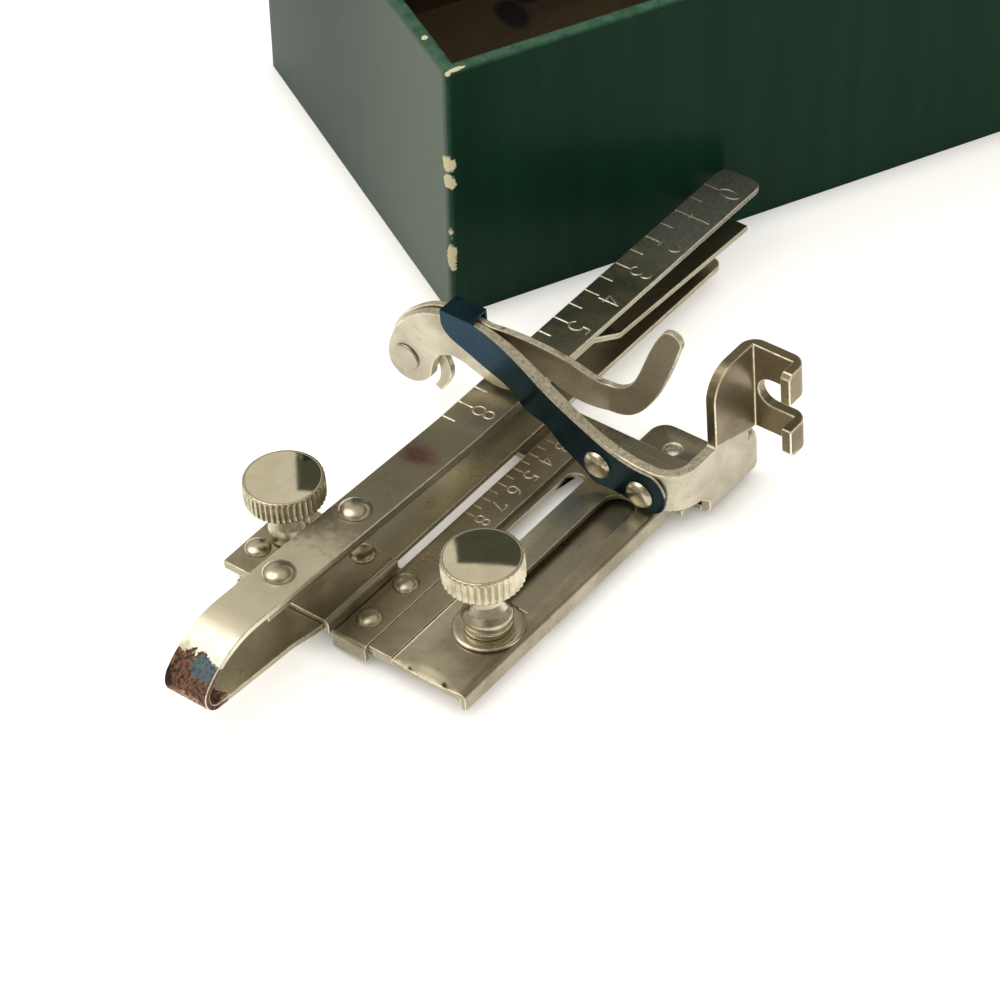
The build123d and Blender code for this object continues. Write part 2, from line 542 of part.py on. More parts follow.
def shank_plate():
    """Slotted plate for the presser bar, its two jaws turned forward at the open end."""
    x0, x1 = SHANK_X, SHANK_X + FOOT_T
    plate = block(x0, x1, SHANK_OUT, WALL_Y + FOOT_T, SHANK_LOW, SHANK_TOP)
    plate += block(x0 - JAW_HOOK, x0, SHANK_OUT, SHANK_OUT + FOOT_T, SHANK_LOW, SHANK_TOP)
    low, high = SLOT_Z - SLOT_H / 2, SLOT_Z + SLOT_H / 2
    slot = block(x0 - JAW_HOOK, x1, SHANK_OUT, SLOT_ROOT - SLOT_H / 2, low, high)
    slot += across_x(Pos(SLOT_ROOT - SLOT_H / 2, SLOT_Z) * Circle(SLOT_H / 2), x0, x1)
    corner = plate.edges().filter_by(Axis.Z).group_by(Axis.X)[-1].sort_by(Axis.Y)[0]
    plate = fillet(corner, JAW_BEND_R)
    ends = plate.edges().filter_by(Axis.Y).group_by(Axis.X)[0]
    return chamfer(ends, JAW_EASE) - slot


def foot_sole():
    plate = block(SOLE_NEAR, SOLE_FAR, WALL_Y + FOOT_T, SOLE_L, SOLE_Z - SOLE_T, SOLE_Z)
    plate = fillet(plate.edges().filter_by(Axis.Z).group_by(Axis.Y)[-1], SOLE_R)
    plate -= block(SOLE_NEAR, WALL_NEAR, WALL_Y, SOLE_CUT, SOLE_Z - SOLE_T, SOLE_Z)
    plate -= through(*NEEDLE_HOLE, NEEDLE_HOLE_R)
    sink = Cone(NEEDLE_HOLE_R, NEEDLE_SINK_R, NEEDLE_SINK, align=(Align.CENTER, Align.CENTER, Align.MAX))
    plate -= Pos(*NEEDLE_HOLE, SOLE_Z) * sink
    for x, y in FOOT_RIVETS:
        plate -= rivet_hole(x, y, SMALL_RIVET_R)
    placed(plate, "foot_sole")


def foot_rivets():
    grip = TOP_Z - SOLE_Z + SOLE_T
    heads = [Pos(x, y, TOP_Z) * rivet(SMALL_RIVET_R, SMALL_RIVET_H, grip) for x, y in FOOT_RIVETS]
    placed(heads[0] + heads[1], "foot_rivets")


def blue_spring():
    """Flat spring along the arm, its free end bent over the head as a clip."""
    face = outline(((CLIP_Y1, SPRING_UNDER[-1][1]), (CLIP_Y1, CLIP_Z + SPRING_T)),
                   ((CLIP_Y1, CLIP_Z + SPRING_T), SPRING_UPPER[0]),
                   SPRING_UPPER, SPRING_END, SPRING_UNDER)
    spring = across_x(face, ARM_X - SPRING_T, ARM_X)
    leg = LEVER_X + LEVER_T + SPRING_GAP
    spring += block(ARM_X - SPRING_T, leg + SPRING_T, CLIP_Y0, CLIP_Y1, CLIP_Z, CLIP_Z + SPRING_T)
    spring += block(leg, leg + SPRING_T, CLIP_Y0, CLIP_Y1, CLIP_Z - CLIP_LEG, CLIP_Z + SPRING_T)
    placed(spring_holes(spring), "blue_spring")


def spring_rivets():
    pair = [facing_out(rivet(SPRING_RIVET_R, SPRING_RIVET_H, SPRING_T + FOOT_T), y, z, ARM_X - SPRING_T)
            for y, z in SPRING_RIVETS]
    placed(pair[0] + pair[1], "spring_rivets")


# ---------------------------------------------------------------------------
# marking lever
# ---------------------------------------------------------------------------
def head_pin():
    far = LEVER_X + LEVER_T + SPRING_GAP
    pin = across_x(Circle(PIN_R - RIVET_FIT), ARM_X, far)
    pin += across_x(Circle(PIN_HEAD_R), ARM_X - PIN_HEAD_T, ARM_X)
    pin += across_x(Circle(PIN_HEAD_R), far, far + PIN_HEAD_T)
    pin = chamfer(pin.edges().filter_by(GeomType.CIRCLE).group_by(Axis.X)[0], PIN_HEAD_T * 0.5)
    placed(Pos(0, PIN_Y, PIN_Z) * pin, "head_pin")


def lever_sheet():
    """Plan of the lever: straight beside the head, then set over towards the needle."""
    line = FilletPolyline((LEVER_X, HEAD_FAR), (LEVER_X, LEVER_BEND_Y),
                          (LEVER_X + LEVER_OUT, LEVER_CREASE_Y),
                          (LEVER_X + LEVER_OUT, SHANK_OUT), radius=2 * LEVER_T)
    return Pos(0, 0, -REACH / 2) * bent(line, LEVER_T, Side.LEFT, Plane.XY, REACH)


def lever_face():
    return outline(LEVER_UPPER, LEVER_UNDER, LEVER_EYE)


def marking_lever():
    lever = lever_sheet() & across_x(lever_face(), LEVER_X - 1, LEVER_X + LEVER_OUT + 2 * LEVER_T)
    lever -= across_x(Pos(PIN_Y, PIN_Z) * Circle(PIN_R + PIN_GAP), LEVER_X - 1, LEVER_X + 2 * LEVER_T)
    placed(lever, "marking_lever")
    beak = across_x(outline(BEAK_OUTER, BEAK_INNER) - lever_face(), LEVER_X, LEVER_X + LEVER_T)
    placed(beak.solids().sort_by(SortBy.VOLUME)[-1], "creasing_beak")


# ---------------------------------------------------------------------------
# tuck guide and thumb screws
# ---------------------------------------------------------------------------
def tuck_guide():
    top, low = BASE_Z - GUIDE_GAP, BASE_LOW + GUIDE_GAP
    right, left = SIDE_R + GUIDE_GAP, LEDGE_R - GUIDE_GAP
    plate = block(GUIDE_NEAR, GUIDE_FAR, right, left, low, top)
    plate += block(GUIDE_NEAR, TONGUE_END, SIDE_L + GUIDE_GAP, left, low, TOP_Z)
    plate += block(GUIDE_NEAR, TONGUE_END, SIDE_L + GUIDE_GAP, SCALE_R - GUIDE_GAP,
                   BASE_Z + GUIDE_GAP, TOP_Z)
    plate -= through(*GUIDE_SCREW, THREAD_R + THREAD_GAP)
    placed(plate, "tuck_guide_plate")


def washer_seat():
    return TOP_Z + GUIDE_GAP


def guide_washer():
    low = washer_seat()
    washer = post(*GUIDE_SCREW, low, low + WASHER_T, WASHER_R)
    placed(washer - through(*GUIDE_SCREW, THREAD_R + THREAD_GAP), "guide_washer")


def head(top, height):
    """Thumb head: band with eased edges."""
    return [(HEAD_R - HEAD_EDGE, top - height), (HEAD_R, top - height + HEAD_EDGE),
            (HEAD_R, top - HEAD_EDGE), (HEAD_R - HEAD_EDGE, top)]


def guide_screw():
    seat = washer_seat() + WASHER_T + SEAT_GAP
    under = GUIDE_SCREW_TOP - GUIDE_HEAD_H
    profile = [(THREAD_R, BASE_LOW + GUIDE_GAP), (THREAD_R, seat), (COLLAR_R, seat),
               (COLLAR_R, seat + COLLAR_H), (STEM_R, seat + 3 * COLLAR_H), (STEM_R, under)]
    placed(turned(*GUIDE_SCREW, profile + head(GUIDE_SCREW_TOP, GUIDE_HEAD_H)), "guide_screw")


def gauge_screw():
    seat = SADDLE_UP + SEAT_GAP
    under = LEAF_SCREW_TOP - LEAF_HEAD_H
    profile = [(THREAD_R, BASE_Z + SEAT_GAP), (THREAD_R, seat), (LEAF_STEM_R, seat),
               (LEAF_STEM_R, seat + 2.4), (STEM_R, under)]
    placed(turned(*LEAF_SCREW, profile + head(LEAF_SCREW_TOP, LEAF_HEAD_H)), "gauge_screw")


box_boards()
box_cover()
box_lining()
lid()
hinge()
space_strip()
under_bar()
space_rivets()
base_plate()
scale_strip()
scale_strip_rivets()
side_plate()
slot_floor()
channel()
saddle()
saddle_rivets()
foot_bracket()
foot_sole()
foot_rivets()
blue_spring()
spring_rivets()
head_pin()
marking_lever()
tuck_guide()
guide_washer()
guide_screw()
gauge_screw()
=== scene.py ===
# %% [markdown]
# # A box for sewing machine attachments, with its tuck marker
#
# The real thing is a card box covered in glazed dark green paper, and in front of it lies the
# adjustable tuck marker that it holds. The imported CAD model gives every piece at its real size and
# place. This script dresses it: it copies the CAD pieces and eases their edges, builds the pieces
# whose finish is in their shape (knurled thumb screws, rivet heads, stamped figures), and gives
# each piece the material of the real one.

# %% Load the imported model
import json

import bmesh
import bpy
import numpy as np
from mathutils import Matrix


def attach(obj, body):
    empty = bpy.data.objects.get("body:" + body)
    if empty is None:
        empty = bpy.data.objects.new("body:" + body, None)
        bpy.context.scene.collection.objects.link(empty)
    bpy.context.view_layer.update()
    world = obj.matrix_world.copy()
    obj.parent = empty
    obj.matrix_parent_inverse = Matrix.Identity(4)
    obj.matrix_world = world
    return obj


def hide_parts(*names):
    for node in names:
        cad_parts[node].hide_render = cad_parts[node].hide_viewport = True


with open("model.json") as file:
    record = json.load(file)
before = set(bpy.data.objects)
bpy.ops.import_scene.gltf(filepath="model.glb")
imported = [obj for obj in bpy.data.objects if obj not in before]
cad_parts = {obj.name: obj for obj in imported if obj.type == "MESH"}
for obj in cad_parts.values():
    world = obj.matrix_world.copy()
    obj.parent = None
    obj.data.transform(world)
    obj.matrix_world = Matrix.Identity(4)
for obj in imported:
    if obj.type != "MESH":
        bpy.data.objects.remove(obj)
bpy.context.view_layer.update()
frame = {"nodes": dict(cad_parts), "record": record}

NODES = frame["nodes"]

# %% [markdown]
# ## The camera
#
# The photograph was taken from in front and to the left, well above the table, through a long
# lens. The camera could be placed by eye, but a marker lying in a photograph has enough straight
# edges and even divisions (its scales are numbered in quarters and eighths of an inch) to work the
# camera out, so its place, its two directions and its slight roll are written here as found.

# %% Place the camera
CAMERA_AT = np.array((-0.2334976, -0.3723600, 0.3468500))
FORWARD = np.array((0.2999465, 0.6370048, -0.7101106))
RIGHT = np.array((0.9047204, -0.4260058, 0.0))
CAMERA_ROLL = np.radians(-1.1368)
FOCAL_SHARE = 4.0001          # focal length over the picture's width
SENSOR_MM = 36.0


def pose_matrix(right, up, back, at):
    """Object matrix from its three directions, which are its columns, and its place."""
    matrix = np.eye(4)
    matrix[:3] = np.stack([right, up, back, at], axis=1)
    return Matrix(matrix.tolist())


down = np.cross(FORWARD, RIGHT)
across = RIGHT * np.cos(CAMERA_ROLL) - down * np.sin(CAMERA_ROLL)
lower = RIGHT * np.sin(CAMERA_ROLL) + down * np.cos(CAMERA_ROLL)

scene = bpy.context.scene
lens = bpy.data.cameras.new("photograph")
lens.sensor_fit, lens.sensor_width = "HORIZONTAL", SENSOR_MM
lens.lens = SENSOR_MM * FOCAL_SHARE
lens.clip_start, lens.clip_end = 0.01, 20.0
camera = bpy.data.objects.new("photograph", lens)
scene.collection.objects.link(camera)
camera.matrix_world = pose_matrix(across, -lower, -FORWARD, CAMERA_AT)
scene.camera = camera
scene.view_settings.view_transform = "Standard"
print("lens mm:", round(lens.lens, 1))

# %% [markdown]
# ## The marker's own frame
#
# The marker stands a little askew on the table. Its pieces, and the stains on them, are worked out
# in its own frame in millimetres, x along the space scale, and one function stands them on the
# table.

# %% Stand marker pieces on the table
PLACE = np.array((-88.43, -52.85, 10.28))
YAW, PITCH, ROLL = np.radians((25.93, 0.19, -4.0))


def turned_about(axis, angle):
    """Rotation matrix about x (0), y (1) or z (2)."""
    i, j = ((1, 2), (2, 0), (0, 1))[axis]
    matrix = np.eye(3)
    matrix[i, i] = matrix[j, j] = np.cos(angle)
    matrix[i, j], matrix[j, i] = -np.sin(angle), np.sin(angle)
    return matrix


STANCE = turned_about(2, YAW) @ turned_about(1, PITCH) @ turned_about(0, ROLL)
STANCE_TURN = tuple(Matrix(STANCE.tolist()).to_euler())


def stand(points):
    """Marker millimetres to row metres: turned by roll, pitch and yaw, then moved to its place."""
    return (np.asarray(points) @ STANCE.T + PLACE) / 1000


print("a marker point at its own origin stands at", stand((0, 0, 0)).round(4))

# %% [markdown]
# ## Small helpers for materials
#
# Colours are easiest to read as the hex values of a paint card, but Blender's nodes want linear
# light, so one function turns them. A second adds a shader node with its settings and its links,
# and a few short ones name what the materials below do over and over: noise, a rise from one value
# to another, one colour laid on another. Each material is then a short list of what it is made of.

# %% Colour and node helpers
def linear(code):
    """Hex colour turned to linear light: c/12.92 near black, ((c + 0.055)/1.055)^2.4 above."""
    c = np.array([int(code[i:i + 2], 16) for i in (1, 3, 5)]) / 255
    return (*np.where(c <= 0.04045, c / 12.92, ((c + 0.055) / 1.055) ** 2.4), 1.0)


def feed(tree, node, values):
    """Fills sockets: another node's output is linked, a constant is set on the socket itself."""
    for socket, value in values.items():
        if isinstance(value, bpy.types.NodeSocket):
            tree.links.new(value, node.inputs[socket])
        else:
            node.inputs[socket].default_value = value


def add(tree, kind, inputs=None, **settings):
    """Adds a shader node with its settings, its sockets filled from inputs."""
    made = tree.nodes.new("ShaderNode" + kind)
    for key, value in settings.items():
        setattr(made, key, value)
    feed(tree, made, inputs or {})
    return made


def per(mm):
    """Pattern scale on Object coordinates, in metres, for a feature of that many millimetres."""
    return 1000.0 / mm


def calc(tree, how, *values, clamp=False):
    """One sum on two or three values."""
    return add(tree, "Math", dict(enumerate(values)), operation=how, use_clamp=clamp).outputs[0]


def span(tree, value, low, high, start=0.0, end=1.0, run="LINEAR"):
    """Start up to low, end past high, and a straight or smooth run between them."""
    return add(tree, "MapRange", {0: value, 1: low, 2: high, 3: start, 4: end},
               interpolation_type=run).outputs[0]


def noise(tree, place, scale, detail, rough=0.5, bend=0.0):
    """Cloudy noise, about 0.5 on average."""
    return add(tree, "TexNoise", {"Vector": place, "Scale": scale, "Detail": detail,
                                  "Roughness": rough, "Distortion": bend}).outputs[0]


def stretched(tree, place, scale, turn=(0.0, 0.0, 0.0)):
    """Coordinates turned and scaled, for noise that is longer one way than another."""
    return add(tree, "Mapping", {"Vector": place, "Rotation": turn, "Scale": scale}).outputs[0]


def ramp(tree, value, *stops):
    """Colour that runs between two (place, hex colour) stops."""
    made = add(tree, "ValToRGB", {0: value})
    for element, (place, code) in zip(made.color_ramp.elements, stops):
        element.position, element.color = place, linear(code)
    return made.outputs[0]


def lay(tree, share, under, over, way="MIX"):
    """One colour laid on another by its share."""
    return add(tree, "Mix", {"Factor": share, 6: under, 7: over}, data_type="RGBA",
               blend_type=way).outputs[2]


def bump(tree, strength, distance, height):
    """Surface normal tilted by a height pattern, which is `distance` metres deep."""
    return add(tree, "Bump", {"Strength": strength, "Distance": distance,
                              "Height": height}).outputs[0]


def new_material(name):
    """A material, its node tree, its main shader, and the object's own coordinates in metres."""
    made = bpy.data.materials.new(name)
    made.use_nodes = True
    tree = made.node_tree
    return made, tree, tree.nodes["Principled BSDF"], add(tree, "TexCoord").outputs["Object"]


print("#808080 is", round(linear("#808080")[0], 3), "in linear light")

# %% [markdown]
# ## Ragged patches
#
# Rust, stains and chips lie where the photograph has them, and each has an outline that no
# pattern gives. A painted mask would need a picture file. Here a patch is an oval: the distance
# from its centre, in half sizes, with noise added, so that its edge breaks up into crumbs.

# %% Mask of one patch
def patch(tree, place, crumbs, centre, half, turn=(0.0, 0.0, 0.0), ragged=0.9, soft=0.06):
    """Mask of an oval patch, 1 inside: centre in metres, half sizes in mm, edge broken by noise."""
    mapped = add(tree, "Mapping", {"Vector": place, "Location": tuple(centre), "Rotation": turn,
                                   "Scale": tuple(np.array(half) / 1000)}, vector_type="TEXTURE")
    far = add(tree, "VectorMath", {0: mapped.outputs[0]}, operation="LENGTH").outputs["Value"]
    edge = calc(tree, "MULTIPLY_ADD", crumbs, ragged, far)
    middle = 1 + ragged / 2
    return span(tree, edge, middle - soft, middle + soft, 1.0, 0.0)


print("a patch is turned with the marker by", np.degrees(STANCE_TURN).round(1), "degrees")

# %% [markdown]
# ## The metal: nickel plate on steel, worn
#
# Everything on the marker but its spring is stamped steel with bright nickel plate. Long handling
# has left it warm: the plate is hazed in clouds, pitted in fine specks, scratched along the way the
# pieces slide, and stained brown where oil has dried. A plain metal shader would give a mirror;
# here clouds and specks drive colour and roughness, and long thin noise gives scratches.

# %% What lies on the plate
RELIEF = 0.35                 # strength of the usual plate's pits and scratches
PIT_ROUGHNESS = 0.12          # roughness that the pits add at that relief


def tinted(tree, place, colour, at, ways, tone):
    """Colour times the tone beyond the marker point `at`, in every one of the ways: painted shade.
    """
    share = None
    for normal in (STANCE @ np.array(way) for way in ways):
        past = add(tree, "VectorMath", {0: place, 1: tuple(normal)}, operation="DOT_PRODUCT")
        level = float(stand(at) @ normal)
        step = span(tree, past.outputs["Value"], level - 1e-4, level + 2e-4)
        share = step if share is None else calc(tree, "MULTIPLY", step, share)
    return lay(tree, share, colour, linear(tone), "MULTIPLY")


def spotted(tree, place, crumbs, pits, spot, colour, metal, matt):
    """Colour, metal share and roughness with one spot laid on them."""
    at, half, (dark, light), dullness, soft = spot
    inside = patch(tree, place, crumbs, stand(at), half, STANCE_TURN, soft=soft)
    mottle = ramp(tree, pits, (0.36, dark), (0.62, light))
    return (lay(tree, inside, colour, mottle),
            calc(tree, "MULTIPLY_ADD", inside, -dullness, metal),
            calc(tree, "MULTIPLY_ADD", inside, 0.4 * dullness, matt))


print("usual relief:", RELIEF)

# %% [markdown]
# One function makes every metal of the marker, because they differ only in how warm, how cloudy and
# how worn they are, and in the painted reflections that two of them carry. Each comment below says
# what its finish gives the eye.

# %% Worn nickel
def worn_nickel(name, bright, dull, stain, rough=(0.2, 0.4), cloud_mm=7.0, pitted=0.3,
                relief=RELIEF, spots=(), metal_share=1.0, shade=None):
    """Nickel plate: cloudy haze, pits and slide scratches. spots, stains and painted reflections
    alike, are (place, half sizes, (dark, light) tones, dullness, softness) in marker mm. shade is
    (place, ways, tone): painted shade, which tints what lies beyond the place in every one of the
    ways."""
    made, tree, shader, place = new_material(name)
    cloud = noise(tree, place, per(cloud_mm), 5.0, 0.6, 0.4)
    pits = noise(tree, place, per(0.45), 3.0)
    # scratches 0.15 mm wide and about 6 mm long, drawn coarser than real so that they show
    run = stretched(tree, place, (per(6.0), per(0.15), per(0.15)), (0, 0, -YAW))
    scratch = noise(tree, run, 1.0, 2.0)
    haze = ramp(tree, cloud, (0.4, bright), (0.66, dull))
    colour = lay(tree, span(tree, pits, 0.28, 0.38, pitted, 0.0), haze, linear(stain))
    if shade is not None:
        colour = tinted(tree, place, colour, *shade)
    metal, matt = metal_share, span(tree, cloud, 0.3, 0.7, *rough)
    if spots:
        crumbs = noise(tree, place, per(1.3), 5.0, 0.65)
    for spot in spots:
        colour, metal, matt = spotted(tree, place, crumbs, pits, spot, colour, metal, matt)
    feed(tree, shader, {
        "Base Color": colour,
        "Metallic": metal,
        "Roughness": calc(tree, "MULTIPLY_ADD", pits, PIT_ROUGHNESS * relief / RELIEF, matt),
        "Normal": bump(tree, relief, 0.00002, calc(tree, "MULTIPLY_ADD", scratch, 0.6, pits))})
    return made


# warm hazed grey, most of the marker
NICKEL = worn_nickel("worn nickel plate", "#b3ab96", "#978f7a", "#463d2b")
# a little lighter, where hands and cloth reach less
KEPT_TONES = ("#cbc4b1", "#afa793", "#4f4632")
KEPT_NICKEL = worn_nickel("less worn nickel plate", *KEPT_TONES)
# a thin pale line round every plate: rubbed plate, and a painted highlight along the eased edges
NICKEL_EDGE_AND_HIGHLIGHT = worn_nickel("nickel rubbed and painted bright at its edges", "#f0e8d4", "#cdc2a6", "#5a4f3a",
                          rough=(0.26, 0.42), cloud_mm=1.1, pitted=0.5)
# grainy and matt, where the die tore through the sheet; its paler colour on the upward edges it is
# given to is also a painted highlight
SHEARED_AND_HIGHLIT = worn_nickel("sheared nickel edge, painted pale", "#d0c8b2", "#a39a83", "#5e543f", rough=(0.4, 0.55),
                      cloud_mm=0.5, pitted=0.5, relief=0.5, metal_share=0.7)
# brighter and smoother, with short soft glints on knurls and rivets
TURNED = worn_nickel("turned nickel plate", "#d2cab4", "#aea58d", "#5f563f", rough=(0.16, 0.3),
                     cloud_mm=2.5, pitted=0.3, relief=0.25)
# a mirror, which splits the screws' tops into a bright and a dark part
POLISHED = worn_nickel("polished nickel plate", "#ece6d2", "#e0d8c2", "#6d664f",
                       rough=(0.02, 0.035), cloud_mm=4.0, pitted=0.1, relief=0.02)
print("metals:", NICKEL.name, "/", SHEARED_AND_HIGHLIT.name, "/", TURNED.name, "/", POLISHED.name)

# %% [markdown]
# Two pieces carry marks of their own. The space strip is crusted with rust at the tip of its loop,
# beside a blue-grey film of oxide; its near half is painted bright and its far half darker, as
# painted reflections. The shank leans back from the foot below it, so above the crease it is painted
# darker, a painted reflection of a darker room.

# %% Strip and foot bracket
STRIP_STAINS_AND_REFLECTIONS = [
    # far half hazed and painted darker, a painted dark reflection; near half painted bright, a
    # painted reflection of a bright room; and a red stain between the two
    ((48.0, -3.0, 0.0), (14.0, 12.0, 3.0), ("#77786a", "#8a8a7c"), 0.3, 0.35),
    ((-40.5, -3.0, 4.0), (13.4, 14.0, 6.8), ("#efe7d1", "#eae2cb"), 0.0, 0.22),
    ((-10.6, -2.4, 0.2), (1.6, 2.4, 1.0), ("#7a5850", "#866157"), 0.1, 0.5),
    # rust round the tip of the loop, with oxide beside it and a crust within it
    ((-56.5, -3.0, -2.4), (6.0, 12.0, 6.0), ("#160c07", "#7f5439"), 0.85, 0.02),
    ((-53.1, -4.7, 0.6), (1.9, 2.7, 1.8), ("#39474b", "#56666b"), 0.3, 0.05),
    ((-54.5, 0.4, -1.6), (1.5, 1.5, 3.2), ("#0c0806", "#2e2218"), 0.8, 0.15),
    ((-54.6, -3.4, -4.5), (1.3, 2.8, 1.5), ("#5c3220", "#d8b39b"), 0.85, 0.2),
    ((-47.5, -5.2, -7.0), (1.4, 1.4, 1.4), ("#40341f", "#8a7f68"), 0.5, 0.2)]
STRIP_NICKEL = worn_nickel("space strip, rusted at its loop, with painted reflections", "#aea791", "#98917c", "#463d2b",
                           spots=STRIP_STAINS_AND_REFLECTIONS)
# the shank above the crease is painted darker: a painted reflection of a darker room
CREASE = (11.65, -27.5, -1.35)
ABOVE_CREASE = ((0.295, 0.0, 0.955), (0.0, -1.0, 0.0))
BRACKET_NICKEL = worn_nickel("foot bracket, painted darker at its shank", *KEPT_TONES,
                             shade=(CREASE, ABOVE_CREASE, "#b5ad9d"))
print("own metals:", STRIP_NICKEL.name, "/", BRACKET_NICKEL.name)

# %% [markdown]
# ## The blue spring
#
# Spring steel is blued by heat: a thin oxide gives the metal a dark blue body colour that still
# reflects like metal. It is even, with small dark pits, and its sheared upper edge has been rubbed
# white and is painted pale there as a painted highlight. It could be made with a coat, but a dark
# metallic colour gives the same glint and exports better.

# %% Blued spring steel
BLUED = worn_nickel("blued spring steel", "#20384a", "#2a434f", "#10181f", rough=(0.2, 0.32),
                    cloud_mm=6.0)
print("spring:", BLUED.name)

# %% [markdown]
# ## The box's papers
#
# The cover is a thin paper printed dark green and glazed: almost no gloss seen square on, and a pale
# sheen at a low angle, so its specular level is well under a paint's. Along the rim the green is
# painted pale, a painted highlight of the rounded glazed rim drawn like rubbing; the upright corners
# have rubbed pale, and the end towards the light carries a painted sheen. Chips down the front
# corner and on the rim show the cream core. They lie where the photograph has them, so each is a
# patch at its own place.

# %% Glazed cover paper
BOX_X, BOX_Y, BOX_Z = 0.078, 0.029, 0.040
RIM_HIGHLIGHT = (BOX_Z - 0.0006, BOX_Z - 0.0001)     # height over which the rim is painted pale: a painted highlight
RIM_ENDS = (BOX_Z + 0.0001, BOX_Z + 0.0003)       # and over which that ends, below the lid
CORNER_RUBBED = (0.0003, 0.0008)                  # distance in from an upright corner
END_FACE = (-BOX_X + 0.0003, -BOX_X + 0.0001)     # skin of the end towards the light
END_SHEEN = (0.012, -BOX_Y)                        # the painted sheen grows from here to its front corner
GLAZE_ROUGH, CORE_ROUGH = 0.26, 0.85


def glazed_paper(name, green, deep, rubbed, core, chips):
    """Glazed paper: clouded green, painted pale along the rim as a painted highlight, rubbed at the
    corners, with a painted sheen on one end; chips are (place, half sizes) mm.
    """
    made, tree, shader, place = new_material(name)
    x, y, _ = add(tree, "SeparateXYZ", {0: place}).outputs
    from_middle = add(tree, "VectorMath", {0: place}, operation="ABSOLUTE").outputs[0]
    out_x, out_y, height = add(tree, "SeparateXYZ", {0: from_middle}).outputs
    corner = calc(tree, "MAXIMUM", calc(tree, "SUBTRACT", BOX_X, out_x),
                  calc(tree, "SUBTRACT", BOX_Y, out_y))
    nibble = noise(tree, place, per(1.6), 6.0, 0.7)
    # the glaze is laid in bands about 3 mm apart that run up the wall
    band = noise(tree, stretched(tree, place, (per(3.0), per(3.0), per(60.0))), 1.0, 3.0)
    grain = noise(tree, place, per(0.35), 3.0)
    body = ramp(tree, band, (0.2, green), (0.85, deep))
    # a painted highlight along the rim, and rubbing at the upright corners
    rim = calc(tree, "MULTIPLY", span(tree, height, *RIM_HIGHLIGHT, 0.0, 0.8),
               span(tree, height, *RIM_ENDS, 1.0, 0.0))
    pale = calc(tree, "MAXIMUM", rim, span(tree, corner, *CORNER_RUBBED, 0.35, 0.0))
    pale = calc(tree, "MULTIPLY", pale, span(tree, nibble, 0.35, 0.6, 0.45, 1.0))
    colour = lay(tree, pale, body, linear(rubbed))
    # painted sheen: the end towards the light is painted paler, most of all near its front corner,
    # standing in for a glossy reflection at a low angle
    painted_sheen = calc(tree, "MULTIPLY", span(tree, x, *END_FACE),
                 span(tree, y, *END_SHEEN, 0.0, 0.55, "SMOOTHSTEP"))
    colour = lay(tree, painted_sheen, colour, linear("#6d7869"))
    bare, rough = 0.0, GLAZE_ROUGH
    for centre, half in chips:
        chip = patch(tree, place, nibble, np.array(centre) / 1000, half, ragged=1.8)
        bare = calc(tree, "MAXIMUM", bare, chip)
    if chips:
        colour = lay(tree, bare, colour, linear(core))
        rough = span(tree, bare, 0.0, 1.0, GLAZE_ROUGH, CORE_ROUGH)
    feed(tree, shader, {
        "Base Color": colour,
        "Roughness": rough,
        "Specular IOR Level": 0.065,
        "Normal": bump(tree, 0.2, 0.00004, calc(tree, "MULTIPLY_ADD", band, 0.3, grain))})
    return made


CHIPS = [((-78.0, -29.0, 25.2), (1.1, 1.4, 1.5)), ((-78.0, -29.0, 22.4), (1.0, 1.3, 1.4)),
         ((-78.0, -29.0, 14.0), (0.6, 0.7, 1.7)), ((-78.0, -29.0, 9.9), (0.9, 1.0, 2.2)),
         ((-77.9, -28.9, 39.7), (0.8, 0.6, 0.5)), ((-76.6, -28.6, 39.9), (1.6, 0.25, 0.3)),
         ((-77.2, -21.5, 40.0), (0.4, 0.4, 0.4))]
# deep green that goes grey at a low angle, with a painted highlight along its rim
PAPER = glazed_paper("glazed dark green paper, with painted highlights", "#123425", "#0d291c", "#4a6a55", "#d3c8a6", CHIPS)
# a soft pale line round the lid
RUBBED_PAPER = glazed_paper("glazed paper rubbed at an edge", "#4a6a55", "#2c4a39", "#4a6a55",
                            "#d3c8a6", [])
print("cover:", PAPER.name, "with", len(CHIPS), "chips")

# %% [markdown]
# ## Board, lining and cloth
#
# Grey board is pressed from short fibres, kraft paper is brown with darker flecks and old stains,
# and the hinge is plain-woven book cloth. All three are matt: fibre noise for the first two, and
# two crossed waves at thread spacing for the cloth.

# %% Matt materials
STRIPE = 2 / 6.283            # a Wave node's stripe is about this wide at scale 1


def fibre(name, tone, fleck, stain, fibre_mm, dark_patches=()):
    """Matt card or paper: fine fibres, flecks, broad stains, and near-black patches as (place, half
    sizes).
    """
    made, tree, shader, place = new_material(name)
    fine = noise(tree, place, per(fibre_mm), 6.0, 0.7)
    broad = noise(tree, place, per(14.0), 4.0)
    body = ramp(tree, fine, (0.35, fleck), (0.6, tone))
    colour = lay(tree, span(tree, broad, 0.5, 0.72, 0.0, 0.7), body, linear(stain))
    for centre, half in dark_patches:
        dark_share = patch(tree, place, broad, np.array(centre) / 1000, half, ragged=1.2, soft=0.15)
        colour = lay(tree, dark_share, colour, linear("#060301"))
    feed(tree, shader, {"Base Color": colour,
                        "Roughness": span(tree, fine, 0.2, 0.8, 0.73, 0.85),
                        "Normal": bump(tree, 0.5, 0.00006, fine)})
    return made


